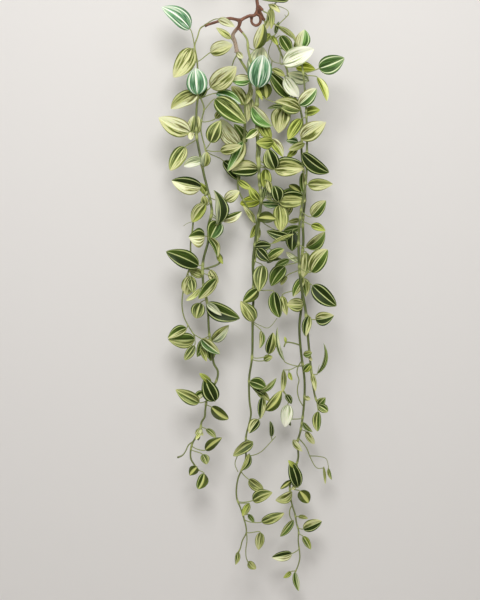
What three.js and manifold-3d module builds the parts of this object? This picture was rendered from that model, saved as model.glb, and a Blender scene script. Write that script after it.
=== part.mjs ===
// A trailing tradescantia in a half-round wall pot, in millimetres, +Z up.
// The origin is on the flat back of the pot, at the height of the rim. The wall is the plane y = 0 and the
// plant hangs on its -Y side. Five long green stems hang from one forked woody stem, and short shoots cover
// the soil.
import * as THREE from "three";
import { mergeVertices } from "three/addons/utils/BufferGeometryUtils.js";
import Module from "manifold-3d";

const wasm = await Module();
wasm.setup();

// Driving dimensions of the pot
const POT_RADIUS = 76;
const POT_FOOT_RADIUS = 52;
const POT_HEIGHT = 112;
const POT_WALL = 5;
const LIP_HEIGHT = 14;
const LIP_OVERHANG = 3.5;
const LIP_ROUND = 4;
const FOOT_ROUND = 4;
const TAB_HEIGHT = 44;
const TAB_WIDTH = 34;
const TAB_FLARE = 6;
const TAB_FOOT = 20;
const SCREW_HOLE_DIAMETER = 6;
const SCREW_HOLE_HEIGHT = 28;
const DRAIN_DIAMETER = 10;
const SOIL_BELOW_RIM = 12;
const FIT_GAP = 0.3;

// Where the photograph's frame lies: its middle pixel, the size of a pixel at the plant, and the viewer's
// distance
const FRAME_MIDDLE = { x: 240, y: 300 };
const MM_PER_PIXEL = 1.3;
const PLANT_DEPTH = 50;
const VIEWER_DISTANCE = 2450;
const VIEWER_X = -26;
const VIEWER_Z = -537;

// Driving dimensions of the plant
const BLADE_THICKNESS = 1.5;
const BLADE_FOLD = 0.32;
const BLADE_ARCH = 0.07;
const PETIOLE_RADIUS = 0.75;
const PETIOLE_ROOT_RADIUS = 0.4;
const STEM_SIDES = 4;
const WOOD_SIDES = 6;

// Colours, none of them metallic
const WOOD = { color: 0x74483a, roughness: 0.7, metalness: 0 };
const LEAF = { color: 0x6f8f4c, roughness: 0.5, metalness: 0 };
const GLAZE = { color: 0xeeebe3, roughness: 0.35, metalness: 0 };
const SOIL = { color: 0x3b2c22, roughness: 0.95, metalness: 0 };

const object = new THREE.Group();

// Booleans
function toSolid(geometry) {
  const bare = geometry.index ? geometry.toNonIndexed() : geometry.clone();
  bare.deleteAttribute("normal");
  bare.deleteAttribute("uv");
  const merged = mergeVertices(bare, 1e-4);
  const vertProperties = new Float32Array(merged.attributes.position.array);
  const triVerts = new Uint32Array(merged.index.array);
  return new wasm.Manifold(new wasm.Mesh({ numProp: 3, vertProperties, triVerts }));
}

function toGeometry(solid) {
  const mesh = solid.getMesh();
  const geometry = new THREE.BufferGeometry();
  geometry.setAttribute("position", new THREE.BufferAttribute(mesh.vertProperties, 3));
  geometry.setIndex(new THREE.BufferAttribute(mesh.triVerts, 1));
  return geometry;
}

function addPiece(name, solid, look) {
  const mesh = new THREE.Mesh(toGeometry(solid), new THREE.MeshStandardMaterial(look));
  mesh.geometry.computeVertexNormals();
  mesh.name = name;
  object.add(mesh);
}

// A box given by its lowest and highest corners
function block(low, high) {
  const size = new THREE.Vector3(...high).sub(new THREE.Vector3(...low));
  const geometry = new THREE.BoxGeometry(size.x, size.y, size.z);
  geometry.translate(low[0] + size.x / 2, low[1] + size.y / 2, low[2] + size.z / 2);
  return toSolid(geometry);
}

// A solid of revolution about Z from its profile of radius and height
function turned(profile, segments = 36) {
  const points = profile.map(([radius, height]) => new THREE.Vector2(radius, height));
  const geometry = new THREE.LatheGeometry(points, segments);
  geometry.rotateX(Math.PI / 2);
  return toSolid(geometry);
}

// A closed round bar along a list of points, with a radius at each of them
function bar(points, radii, sides) {
  const frame = new THREE.Matrix4();
  const position = [];
  const index = [];
  const last = points.length - 1;
  let side = new THREE.Vector3(1, 0, 0);
  points.forEach((point, i) => {
    const along = points[Math.min(i + 1, last)].clone().sub(points[Math.max(i - 1, 0)]).normalize();
    if (Math.abs(side.dot(along)) > 0.95) side = new THREE.Vector3(0, 1, 0);
    side = side.clone().addScaledVector(along, -side.dot(along)).normalize();
    frame.makeBasis(side, along.clone().cross(side), along).setPosition(point);
    for (let k = 0; k < sides; k++) {
      const angle = (2 * Math.PI * k) / sides;
      const corner = new THREE.Vector3(Math.cos(angle) * radii[i], Math.sin(angle) * radii[i], 0);
      position.push(...corner.applyMatrix4(frame).toArray());
    }
  });
  for (let i = 0; i < last; i++) {
    for (let k = 0; k < sides; k++) {
      const a = i * sides + k;
      const b = i * sides + ((k + 1) % sides);
      index.push(a, b, b + sides, a, b + sides, a + sides);
    }
  }
  for (let k = 1; k < sides - 1; k++) {
    index.push(0, k + 1, k);
    index.push(last * sides, last * sides + k, last * sides + k + 1);
  }
  const geometry = new THREE.BufferGeometry();
  geometry.setAttribute("position", new THREE.Float32BufferAttribute(position, 3));
  geometry.setIndex(index);
  return geometry;
}

// A leaf as one closed surface: a thin petiole from its root, sunk in the stem, to the blade's base, then the
// blade to its tip with its upper face towards facing. The blade is a pointed oval, folded up a little along
// its midrib, arched along its length, thick at the midrib and thin at its edges. Small blades have fewer
// stations.
const BLADE_STATIONS = [
  { at: 0.18, half: 0.7 },
  { at: 0.43, half: 1.0 },
  { at: 0.74, half: 0.62 },
];
const SMALL_BLADE_STATIONS = [
  { at: 0.25, half: 0.86 },
  { at: 0.62, half: 0.84 },
];
const SMALL_BLADE_WIDTH = 14;

function leaf(root, base, tip, width, facing) {
  const along = tip.clone().sub(base);
  const length = along.length();
  along.normalize();
  const up = facing.clone().addScaledVector(along, -facing.dot(along)).normalize();
  const across = up.clone().cross(along);
  const position = [];
  const ring = (middle, reach, rise, thick, heading = along) => {
    const turn = new THREE.Quaternion().setFromUnitVectors(along, heading);
    const sideways = across.clone().applyQuaternion(turn);
    const upwards = up.clone().applyQuaternion(turn);
    const edge = middle.clone().addScaledVector(upwards, rise);
    position.push(...edge.clone().addScaledVector(sideways, -reach).toArray());
    position.push(...middle.clone().addScaledVector(upwards, thick).toArray());
    position.push(...edge.addScaledVector(sideways, reach).toArray());
    position.push(...middle.clone().addScaledVector(upwards, -thick).toArray());
  };
  const lead = base.clone().sub(root).normalize();
  const bend = lead.clone().add(along).normalize();
  ring(root, PETIOLE_ROOT_RADIUS, 0, PETIOLE_ROOT_RADIUS, lead);
  ring(base, PETIOLE_RADIUS, 0, PETIOLE_RADIUS, bend);
  const stations = width < SMALL_BLADE_WIDTH ? SMALL_BLADE_STATIONS : BLADE_STATIONS;
  for (const { at, half } of stations) {
    const middle = base.clone().addScaledVector(along, at * length);
    middle.addScaledVector(up, BLADE_ARCH * length * 4 * at * (1 - at));
    const reach = (half * width) / 2;
    ring(middle, reach, BLADE_FOLD * reach, BLADE_THICKNESS / 2);
  }
  position.push(...tip.toArray());
  const rings = 2 + stations.length;
  const tipIndex = 4 * rings;
  const index = [0, 1, 2, 0, 2, 3];
  for (let k = 0; k < 4; k++) {
    const next = (k + 1) % 4;
    for (let r = 0; r < rings - 1; r++) {
      const a = 4 * r + k;
      const b = 4 * r + next;
      index.push(a, a + 4, b, b, a + 4, b + 4);
    }
    index.push(tipIndex - 4 + next, tipIndex - 4 + k, tipIndex);
  }
  const geometry = new THREE.BufferGeometry();
  geometry.setAttribute("position", new THREE.Float32BufferAttribute(position, 3));
  geometry.setIndex(index);
  return toSolid(geometry);
}

// Pot: a flat-backed half bowl with a rolled lip, a hanging tab with a screw hole, and a drain hole
const lipRadius = POT_RADIUS + LIP_OVERHANG;
const outerProfile = [
  [0, -POT_HEIGHT],
  [POT_FOOT_RADIUS - FOOT_ROUND, -POT_HEIGHT],
  [POT_FOOT_RADIUS - 0.25 * FOOT_ROUND, -POT_HEIGHT + 0.3 * FOOT_ROUND],
  [POT_FOOT_RADIUS, -POT_HEIGHT + FOOT_ROUND],
  [POT_RADIUS, -LIP_HEIGHT],
  [lipRadius - 0.2 * LIP_ROUND, -LIP_HEIGHT + 0.4 * LIP_ROUND],
  [lipRadius, -LIP_HEIGHT + LIP_ROUND],
  [lipRadius, -LIP_ROUND],
  [lipRadius - 0.25 * LIP_ROUND, -0.3 * LIP_ROUND],
  [lipRadius - LIP_OVERHANG, 0],
  [0, 0],
];
const FLOOR_THICKNESS = 6;
const HOLLOW_ROUND = 4;
const OPEN_ABOVE = 20;

// The hollow of the pot up to a given height, made smaller all round by a gap
function hollowProfile(gap, top) {
  const floor = -POT_HEIGHT + FLOOR_THICKNESS + gap;
  const mouth = POT_RADIUS - POT_WALL - gap;
  const foot = POT_FOOT_RADIUS - POT_WALL - gap;
  return [
    [0, floor],
    [foot - 0.5 * HOLLOW_ROUND, floor],
    [foot + 0.12 * HOLLOW_ROUND, floor + HOLLOW_ROUND],
    [mouth, -LIP_HEIGHT],
    [mouth, top],
    [0, top],
  ];
}

// Everything in front of a plane that is parallel to the wall
const FAR = 200;

function front(backFace) {
  return block([-FAR, -FAR, -FAR], [FAR, backFace, FAR]);
}

const halfTab = TAB_WIDTH / 2;
const tabShape = new THREE.Shape();
tabShape.moveTo(-halfTab - TAB_FLARE, -TAB_FOOT);
tabShape.lineTo(halfTab + TAB_FLARE, -TAB_FOOT);
tabShape.lineTo(halfTab, TAB_FLARE);
tabShape.lineTo(halfTab, TAB_HEIGHT - halfTab);
tabShape.absarc(0, TAB_HEIGHT - halfTab, halfTab, 0, Math.PI, false);
tabShape.lineTo(-halfTab, TAB_FLARE);
const screwHole = new THREE.Path();
screwHole.absarc(0, SCREW_HOLE_HEIGHT, SCREW_HOLE_DIAMETER / 2, 0, 2 * Math.PI, true);
tabShape.holes.push(screwHole);
const tabGeometry = new THREE.ExtrudeGeometry(tabShape, {
  depth: POT_WALL,
  bevelEnabled: false,
  curveSegments: 6,
});
tabGeometry.rotateX(Math.PI / 2);
const DRAIN_CUT = 40;
const DRAIN_SIDES = 12;
const drain = new THREE.CylinderGeometry(DRAIN_DIAMETER / 2, DRAIN_DIAMETER / 2, DRAIN_CUT, DRAIN_SIDES);
drain.rotateX(Math.PI / 2);
drain.translate(0, -POT_FOOT_RADIUS / 2, -POT_HEIGHT);
const hollow = turned(hollowProfile(0, OPEN_ABOVE)).intersect(front(-POT_WALL));
const pot = turned(outerProfile)
  .intersect(front(0))
  .subtract(hollow)
  .add(toSolid(tabGeometry))
  .subtract(toSolid(drain));
addPiece("pot", pot, GLAZE);

// A place read off the photograph's 480 x 600 frame, at a depth in front of the wall, on the viewer's line
// of sight
function place(pixelX, pixelY, depth) {
  const perPixel = (MM_PER_PIXEL * (VIEWER_DISTANCE - depth)) / (VIEWER_DISTANCE - PLANT_DEPTH);
  const x = VIEWER_X + (pixelX - FRAME_MIDDLE.x) * perPixel;
  const z = VIEWER_Z - (pixelY - FRAME_MIDDLE.y) * perPixel;
  return new THREE.Vector3(x, -depth, z);
}

// A repeatable random number from 0 to 1 for each of a plant's leaves
function draws(seed) {
  let state = seed;
  return () => {
    state = (state * 1103 + 12347) % 65536;
    return state / 65536;
  };
}

// Woody stem: each branch is a list of places, pixel x, pixel y and depth, with its radius at its two ends.
// The curl is a knot in the wood, in finer steps than the rest.
const WOOD_STEP = 11;
const CURL_STEP = 5;
const woodBranches = {
  trunk: {
    radii: [2.9, 2.0],
    way: [[257, 0, 82], [257.5, 8, 79], [255, 15, 76], [249, 16, 74], [240, 20.5, 70]],
  },
  left: {
    radii: [2.0, 1.7],
    way: [[240, 20.5, 70], [229.6, 18.4, 65], [220.4, 20.7, 61], [205, 25.6, 56]],
  },
  fork: {
    radii: [2.0, 2.2],
    way: [[240, 20.5, 70], [239, 26, 67], [236, 30, 64], [232.8, 35, 60], [235, 42, 55], [237, 52, 50]],
  },
  middle: {
    radii: [1.7, 1.4],
    way: [[238.8, 28.3, 66], [240.5, 30.5, 66.5], [242.5, 32.8, 67]],
  },
  curl: {
    radii: [2.1, 1.6],
    way: [
      [255, 13, 76], [259.8, 16, 73], [260.2, 22.5, 70], [256, 25.5, 68], [252, 23, 68], [251.5, 17.5, 70],
    ],
  },
  right: {
    radii: [2.0, 1.7],
    way: [[257.5, 8, 79], [261, 14, 74], [264, 20, 69]],
  },
  outer: {
    radii: [2.0, 1.6],
    way: [[257.3, 6, 80], [260, 7.5, 79], [262.5, 10, 77]],
  },
};

// The trunk rises out of the soil near the pot's middle, leans over the rim and comes down before the pot
const trunkFoot = new THREE.Vector3(-4, -44, -36);
const trunkTop = [
  new THREE.Vector3(-4, -44, -8),
  new THREE.Vector3(-3, -50, 12),
  new THREE.Vector3(-3, -70, 16),
  new THREE.Vector3(-4, -86.5, 2),
  new THREE.Vector3(-6, -90, -30),
  new THREE.Vector3(-4, -87, -90),
];

// Points at even steps along a smooth curve through the given places
function route(places, step) {
  const curve = new THREE.CatmullRomCurve3(places, false, "centripetal");
  return curve.getSpacedPoints(Math.max(2, Math.round(curve.getLength() / step)));
}

function taper(points, [first, last], sides) {
  const radii = points.map((_, i) => first + ((last - first) * i) / (points.length - 1));
  return toSolid(bar(points, radii, sides));
}

const woodParts = [];
for (const [name, branch] of Object.entries(woodBranches)) {
  const places = branch.way.map((spot) => place(...spot));
  if (name === "trunk") {
    places.unshift(...trunkTop);
  }
  const points = route(places, name === "curl" ? CURL_STEP : WOOD_STEP);
  if (name === "trunk") {
    points.unshift(trunkFoot);
  }
  const [beforeEnd, end] = points.slice(-2);
  branch.end = end;
  branch.heading = end.clone().sub(beforeEnd).normalize();
  woodParts.push(taper(points, branch.radii, WOOD_SIDES));
}
addPiece("woody_stem", wasm.Manifold.union(woodParts), WOOD);

// Trailing stems, read off the photograph. Every stem eases from the depth where it leaves the wood, at its
// top pixel row, to the depth where it hangs. A vine is a run of stem: its radius at both ends and its pixel
// places. A leaf row is: base x, base y, tip x, tip y, width, all in pixels, then how far in mm it stands in
// front of the stem, and how far in mm its tip leans towards the viewer.
const trailingStems = [
  {
    name: "stem_left",
    from: "left",
    seed: 101,
    top: 22,
    depth: { start: 56, hang: 47, within: 90 },
    vines: [
      {
        radii: [1.7, 0.8],
        way: [
          [200, 29], [197.5, 37], [194.5, 46], [197.5, 66], [198, 94], [196.5, 110], [196.5, 135],
          [200, 155], [204, 175], [207.5, 189], [211.8, 212], [208.5, 225], [208.4, 240], [203, 262],
          [203.6, 287], [207.4, 304], [209, 331], [212.5, 356], [217.8, 371], [217, 379], [211.5, 390],
          [206.6, 401], [204.6, 417], [200.2, 429], [192.6, 443], [190.6, 451], [191, 459], [194.5, 465],
          [199, 471],
        ],
      },
      { radii: [1.2, 0.8], way: [[199, 94], [204, 108], [201.7, 120], [201, 131], [205, 148], [206, 156]] },
      {
        radii: [1.3, 0.7],
        way: [
          [206.5, 190], [202, 201], [194.6, 214], [192.4, 230], [190.5, 246], [191, 262], [184.8, 283],
          [182, 304], [184.4, 318], [194.6, 336],
        ],
      },
      { radii: [0.8, 0.6], way: [[193.5, 440.5], [185.7, 451], [182.5, 455.3], [177.3, 457.6]] },
      { radii: [0.8, 0.6], way: [[208, 240], [217, 253], [221.5, 258], [218, 262.5], [210, 266]] },
    ],
    leaves: [
      [190, 29.5, 161.5, 7, 18, 4, 8],
      [219, 17.6, 235, 26, 6, 20, 2],
      [192, 49, 173.7, 77, 16, 2, 6],
      [210.5, 53, 232, 44.4, 14, 0, 4],
      [210.3, 85.6, 235, 66.6, 17, -3, 6],
      [197.4, 94, 195.2, 68, 21, 8, 4],
      [196, 94, 171.4, 109, 14.5, 2, 6],
      [215.7, 100, 245.7, 122, 17, 5, 7],
      [216.3, 94.7, 239.3, 104, 8, -7, 0],
      [209.3, 142, 219, 121, 13.5, 6, 4],
      [220.8, 151, 241.8, 146, 11, 2, 3],
      [227.8, 171, 241.2, 153, 12, 3, 4],
      [224, 162, 238.7, 179.5, 10, -5, -2],
      [188.3, 131, 159, 118, 17, 2, 8],
      [188, 131, 194.6, 115.7, 10, -6, -2],
      [191, 140, 190, 131, 5, 7, 2],
      [185, 147.6, 170.4, 170.6, 14.5, 1, 5],
      [208.7, 156.5, 185, 164, 11, 7, 4],
      [199.7, 185.5, 172, 180.7, 16, 4, 7],
      [206.8, 194.4, 197.8, 183, 6, -4, -2],
      [218.2, 224.4, 213, 190.6, 12.5, 8, 3],
      [225.3, 199, 239, 190.6, 8, -4, 0],
      [224.6, 220, 241.8, 211.7, 7.5, 0, 3],
      [205.5, 203.4, 193.4, 222, 9, 5, 3],
      [222, 222, 211, 239, 12, 2, 4],
      [205.5, 233, 189, 238, 14, 5, 4],
      [208.7, 237, 217.6, 255, 6.5, 7, 3],
      [198.5, 264, 166, 251.8, 15, 3, 8],
      [190.8, 278, 184.8, 291, 12, 6, 3],
      [197.2, 290.4, 185.7, 300.6, 5, 8, 3],
      [216.3, 279.5, 198.8, 299.3, 11, 4, 4],
      [201, 304, 196, 318, 11, -4, 0],
      [207.4, 301, 239.6, 317.5, 17, 4, 8],
      [185.7, 327, 168, 338, 9.5, 4, 4],
      [194, 338, 168, 340, 12.5, 0, 5],
      [194, 346.8, 184.4, 359.5, 6.5, 2, 3],
      [199.7, 348.7, 206, 362, 9, 5, 3],
      [202.3, 339, 220, 352.5, 11, 9, 4],
      [212.8, 340.4, 228.8, 326.4, 9.5, -3, 3],
      [213.8, 401, 199.7, 375, 16.5, 6, 6],
      [198.5, 402.3, 175.5, 389.2, 11.5, 2, 5],
      [204, 398, 195, 389, 7, -6, -2],
      [212.5, 408, 227.5, 417.6, 10.5, 2, 4],
      [206.4, 428.7, 216, 438, 6, 1, 2],
      [197, 439, 200.5, 431, 6, 3, 2],
      [205.4, 449.7, 222.3, 437.6, 9, 2, 4],
      [202, 455, 206.4, 463, 8, 4, 2],
      [196.8, 467.6, 189, 473, 7.5, 3, 3],
      [202, 474, 195, 489.3, 10, 2, 3],
    ],
  },
  {
    name: "stem_middle_left",
    from: "fork",
    seed: 211,
    top: 54,
    depth: { start: 50, hang: 22, within: 50 },
    vines: [
      {
        radii: [1.4, 0.7],
        way: [
          [241, 61], [249, 75], [250, 88], [246, 103], [245, 123], [243.8, 144.6], [242.5, 162],
          [238, 179], [238.5, 190], [244.4, 202], [252, 215], [255, 222],
        ],
      },
      { radii: [1.0, 0.7], way: [[237.5, 55], [234, 60], [232, 66]] },
    ],
    leaves: [
      [230.4, 37.5, 216.6, 28, 6, -8, 2],
      [232, 87, 245.6, 104, 8, -5, 0],
      [252, 80, 232.6, 80, 9, 4, 3],
      [238.7, 144, 220, 119.5, 15, 1, 4],
      [246, 143, 234, 124, 11, -8, -2],
      [257, 168, 239.5, 167, 12, 5, 3],
      [239.3, 181, 252, 188, 6, 4, 2],
      [243, 205, 254, 195, 9, -4, 0],
      [256, 224, 262, 238, 8, 0, 2],
    ],
  },
  {
    name: "stem_middle",
    from: "middle",
    seed: 307,
    top: 61,
    depth: { start: 66, hang: 62, within: 40 },
    vines: [
      {
        radii: [1.7, 0.7],
        way: [
          [247.2, 40], [248.2, 50], [250.6, 60], [254.5, 75], [257.4, 88], [256.5, 110], [257.8, 145],
          [259.7, 182], [261.2, 201], [258, 219], [255.5, 240], [253, 262], [253.6, 286], [252.7, 322],
          [252, 358], [249.2, 378], [249.5, 401], [251, 413.6], [249.2, 424], [245.6, 443], [245.6, 459.5],
          [241.6, 470], [236.4, 489], [236.8, 498], [243.8, 518], [246.2, 533], [242.2, 541], [238, 554],
          [237, 561],
        ],
      },
      { radii: [0.7, 0.5], way: [[245.2, 456], [252, 455.5], [260.4, 452.3], [268, 445], [275.7, 436.4]] },
      { radii: [0.7, 0.5], way: [[247, 446], [238, 455], [235, 464], [238, 472]] },
      { radii: [0.8, 0.6], way: [[246.5, 532], [247, 540], [245.8, 550], [248, 562]] },
    ],
    leaves: [
      [257.6, 87.6, 263, 55, 22, 9, 3],
      [256, 80, 264, 47, 15, -5, 0],
      [254.5, 48.2, 263, 23.7, 10, 13, 4],
      [258, 92, 274, 88, 12, -4, 2],
      [253.4, 108, 270.6, 124.6, 13, 5, 4],
      [266, 108, 280, 108, 5, -3, 2],
      [260, 121, 271, 138.7, 9, -3, 2],
      [275, 168, 263, 149, 12, 3, 4],
      [275, 168.7, 303.8, 168.7, 16, 2, 3],
      [272, 141, 257.9, 143, 8, 4, 2],
      [272.5, 139, 282, 152.7, 9, 0, 2],
      [257, 163.5, 259, 141, 5, -6, -2],
      [265, 169.5, 265.5, 187.4, 9, -5, 2],
      [268, 181, 272, 194, 7, 4, 2],
      [259.8, 199.5, 249.6, 186.8, 7, 4, 3],
      [278.3, 201.5, 273.2, 186.8, 9, 5, 3],
      [279, 201.5, 305.7, 200.8, 14.5, 1, 2],
      [279.5, 206, 280.5, 231.4, 12, -2, 3],
      [260.4, 217.4, 272, 217.4, 9, 4, 3],
      [268, 237, 279.5, 233, 6, -4, 0],
      [272.5, 243, 293, 234.3, 7, 3, 2],
      [257, 242, 266, 261, 12, 6, 3],
      [276, 254, 267, 263, 8, -1, 2],
      [261, 266, 259, 290.4, 13, 2, 4],
      [257.2, 289, 243.2, 301.2, 9, 3, 3],
      [254.7, 320.4, 241.3, 302, 12.5, 5, 4],
      [273.2, 293, 282, 316.5, 11, 2, 4],
      [262.3, 331.5, 259.8, 348, 5.5, 2, 2],
      [265.5, 354, 272.5, 333.4, 8.5, 3, 3],
      [264, 361, 272.5, 356.7, 6, -3, 2],
      [251, 382, 266, 380, 6, 2, 3],
      [253, 385.5, 265, 393.5, 6, -3, 2],
      [263, 391.4, 276, 378, 4.5, 3, 3],
      [266.8, 411.2, 280.8, 391.4, 9, 2, 4],
      [261.7, 397.8, 259.8, 419.5, 7, 5, 3],
      [256.6, 418.5, 247, 433.8, 7, 5, 2],
      [272.5, 438, 269, 423, 5, 3, 2],
      [252, 441.5, 232.5, 455.5, 10, 3, 4],
      [249.6, 454.2, 240, 472, 6, 5, 3],
      [250, 474, 263, 489.3, 12, 2, 4],
      [253, 500.7, 272.8, 491, 11, 2, 4],
      [243, 505, 250, 515.5, 6, 4, 2],
      [261.7, 523.6, 284.3, 513, 9.5, 2, 4],
      [248.3, 514.4, 256, 522, 5, -3, 2],
      [259.8, 532.8, 256.7, 552, 10, 1, 3],
      [238, 552, 234, 565, 5, 3, 2],
      [247, 562, 256, 570, 6, 1, 2],
    ],
  },
  {
    name: "stem_right",
    from: "right",
    seed: 401,
    top: 21,
    depth: { start: 69, hang: 36, within: 60 },
    vines: [
      {
        radii: [1.7, 0.7],
        way: [
          [264.5, 30], [269, 37], [276, 43], [280, 51], [284, 61], [289.5, 86], [295, 97],
          [300.4, 110], [302.5, 124], [301.5, 150], [303.5, 171], [305, 198], [302.8, 222], [303.4, 240],
          [301.8, 262], [302.2, 300], [299.4, 326], [301, 352], [304.5, 380], [304, 404], [300.5, 431],
          [297.6, 442], [298.2, 458], [292.6, 474], [290, 485], [290.4, 497], [295, 514], [298.6, 531],
          [298.2, 540], [299.9, 557], [295.3, 572],
        ],
      },
      { radii: [1.0, 0.6], way: [[267, 26], [268, 17], [271, 8], [279, 0], [286, -7]] },
      { radii: [0.8, 0.5], way: [[298.4, 438], [306, 447], [311, 459], [317, 468], [324, 468]] },
      { radii: [0.7, 0.4], way: [[309.8, 455], [318, 456.3], [326, 458.6], [328.8, 468]] },
      { radii: [0.7, 0.5], way: [[301.6, 366], [297, 366.5], [290.5, 369.5], [284, 370]] },
    ],
    leaves: [
      [283, -5, 264.5, 3, 10, 4, 3],
      [269, 4.6, 280, 12.5, 6, 5, 2],
      [268.5, 30, 266, 9, 8, -5, 0],
      [270, 34, 263, 43, 6, 3, 2],
      [272, 36, 278, 45, 5, -3, 2],
      [277.5, 26, 297, 39, 5, 2, 3],
      [279, 37.5, 289, 53, 9, -5, 0],
      [296, 46.7, 304.7, 29.8, 15, 2, 4],
      [283.6, 63.5, 313.5, 49, 15, 5, 5],
      [296.6, 65.8, 315, 69.6, 10, -2, 3],
      [294, 76, 309, 80, 10, 3, 3],
      [285, 80, 296, 96, 9, -5, 0],
      [288.2, 95, 270.6, 73.5, 12, 4, 3],
      [300, 109, 276.7, 101, 15, 3, 4],
      [280.8, 109.3, 278.3, 132.3, 14, -1, 3],
      [298, 142, 286, 140.5, 8, 2, 2],
      [304, 144, 287, 155, 9, -3, 2],
      [302, 190, 281, 192, 8, -4, 0],
      [300, 192, 288.5, 185.5, 6, 5, 2],
      [302, 173, 305.5, 195, 5, -4, 0],
      [290, 207, 286, 219.5, 6, 2, 2],
      [292, 232, 293, 250.5, 13, 3, 3],
      [284, 267.7, 271.5, 284.6, 12, 1, 3],
      [286.6, 276, 281, 285, 6, -3, 2],
      [281.5, 295.5, 290.4, 315, 7, 1, 3],
      [303, 304, 287.8, 304, 14, 5, 3],
      [303.8, 278.3, 293, 296, 9, 4, 3],
      [304, 279, 306, 292, 6, -4, 0],
      [306.3, 253.4, 303, 277.6, 9, 5, 3],
      [299.3, 365, 277.6, 345.5, 4.5, -2, 3],
      [283.4, 369.6, 281.5, 392, 4.5, 1, 2],
      [292, 372, 288, 382, 5, 3, 2],
      [288.5, 396, 284, 428, 13, 3, 3],
      [303.8, 424.5, 312.4, 431.6, 5.5, 2, 2],
      [305, 431, 315, 444, 7, -2, 2],
      [293.6, 441.5, 302.2, 452.3, 6, 4, 2],
      [296, 486, 288.5, 460, 12.5, 7, 3],
      [291.7, 479, 280.8, 489.3, 5.5, 1, 3],
      [328.8, 468, 330, 481, 4.5, 1, 1],
      [324, 468, 325, 484, 4.5, 1, 1],
      [298.8, 491.5, 308.8, 502.2, 11, 2, 3],
      [292.3, 493.8, 276.2, 500.7, 8.5, 2, 3],
      [298, 519, 309, 516, 5, -2, 2],
      [293.5, 520.6, 280.5, 535, 8, 2, 3],
      [303, 529.7, 321.8, 521.7, 10.5, 2, 4],
      [303, 536.6, 310.3, 549.3, 6.5, 3, 2],
      [291.6, 552, 272, 558.4, 9, 2, 3],
      [291.6, 571, 283.5, 578, 4.5, 2, 2],
      [294.2, 572.2, 299.2, 592.5, 6.5, 1, 2],
    ],
  },
  {
    name: "stem_right_outer",
    from: "outer",
    seed: 503,
    top: 12,
    depth: { start: 74, hang: 86, within: 60 },
    vines: [
      {
        radii: [1.5, 0.7],
        way: [
          [267, 13], [275, 24.5], [280, 26.6], [286, 29.5], [295.5, 42], [300, 56], [303, 72], [305, 92],
          [306.6, 120], [307, 150], [306, 180], [301.5, 208], [298.8, 235], [298.8, 256], [301, 285],
          [305.6, 311], [308.4, 342], [311.5, 373], [314.5, 394], [317, 402],
        ],
      },
    ],
    leaves: [
      [319.6, 67.3, 343.3, 56.6, 18, 1, 4],
      [317.3, 78, 325.7, 100.3, 7, 3, 2],
      [299.3, 105, 316.2, 89, 12, 3, 4],
      [306.3, 112.5, 319.7, 110, 9, -3, 2],
      [301.2, 136, 325, 122, 14.5, 2, 4],
      [300.6, 119.5, 288.5, 138.4, 9, -3, 2],
      [303.8, 152, 329.3, 172.2, 13.5, 3, 4],
      [309, 182.3, 331.8, 184, 9.5, 2, 4],
      [311.4, 215.5, 326.4, 201.5, 11, 2, 3],
      [311.4, 225.7, 325.5, 230.8, 6, 1, 2],
      [307.6, 248, 324.5, 232, 10.5, 2, 4],
      [311.4, 271.3, 326.7, 250, 14, 3, 4],
      [313.3, 285.3, 335.7, 305.7, 15.5, 2, 4],
      [316, 318.4, 333.8, 315.3, 12.5, 2, 3],
      [309, 317.8, 306.3, 335.7, 7.5, 4, 2],
      [308, 357, 313.5, 348.5, 5, 2, 2],
      [304.4, 373, 311, 364, 6, -3, 2],
      [317.5, 376, 322.3, 342.3, 5, 2, 3],
      [311, 375, 316.5, 391.5, 5.5, 4, 2],
      [318.4, 405.5, 325.5, 397.5, 7, 1, 2],
      [318.4, 405.5, 328.4, 411.8, 8, 3, 2],
      [317.2, 412, 317.8, 432.2, 8, 1, 2],
    ],
  },
];

const STEM_STEP = 17;
const SIDE_STEP = 13;
const STRAIGHT_START = 3;
const LEAF_ROLL = 0.5;
const TOWARDS_VIEWER = new THREE.Vector3(0, -1, 0);

function smooth(t) {
  const c = Math.min(Math.max(t, 0), 1);
  return c * c * (3 - 2 * c);
}

// The axis of a stem as it is modelled, in short even steps, on which leaves and side runs are rooted
const AXIS_STEP = 2;

function fineAxis(points) {
  const axis = [points[0]];
  points.slice(1).forEach((point, i) => {
    const count = Math.ceil(point.distanceTo(points[i]) / AXIS_STEP);
    for (let k = 1; k <= count; k++) axis.push(points[i].clone().lerp(point, k / count));
  });
  return axis;
}

function nearest(axes, target) {
  let best = { gap: Infinity };
  for (const axis of axes) {
    axis.forEach((point, i) => {
      const gap = point.distanceTo(target);
      if (gap < best.gap) best = { gap, axis, i };
    });
  }
  return best;
}

// A leaf is rooted on the nearest stretch of stem, a little further up it than its base and clear of the wood
const ROOT_SHIFT = 0.45;
const FIRST_ROOT = 4;

function leafRoot(axes, base) {
  const { gap, axis, i } = nearest(axes, base);
  const highest = axis === axes[0] ? FIRST_ROOT : 0;
  const shifted = i - Math.round((gap * ROOT_SHIFT) / AXIS_STEP);
  return axis[Math.max(shifted, highest)];
}

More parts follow.
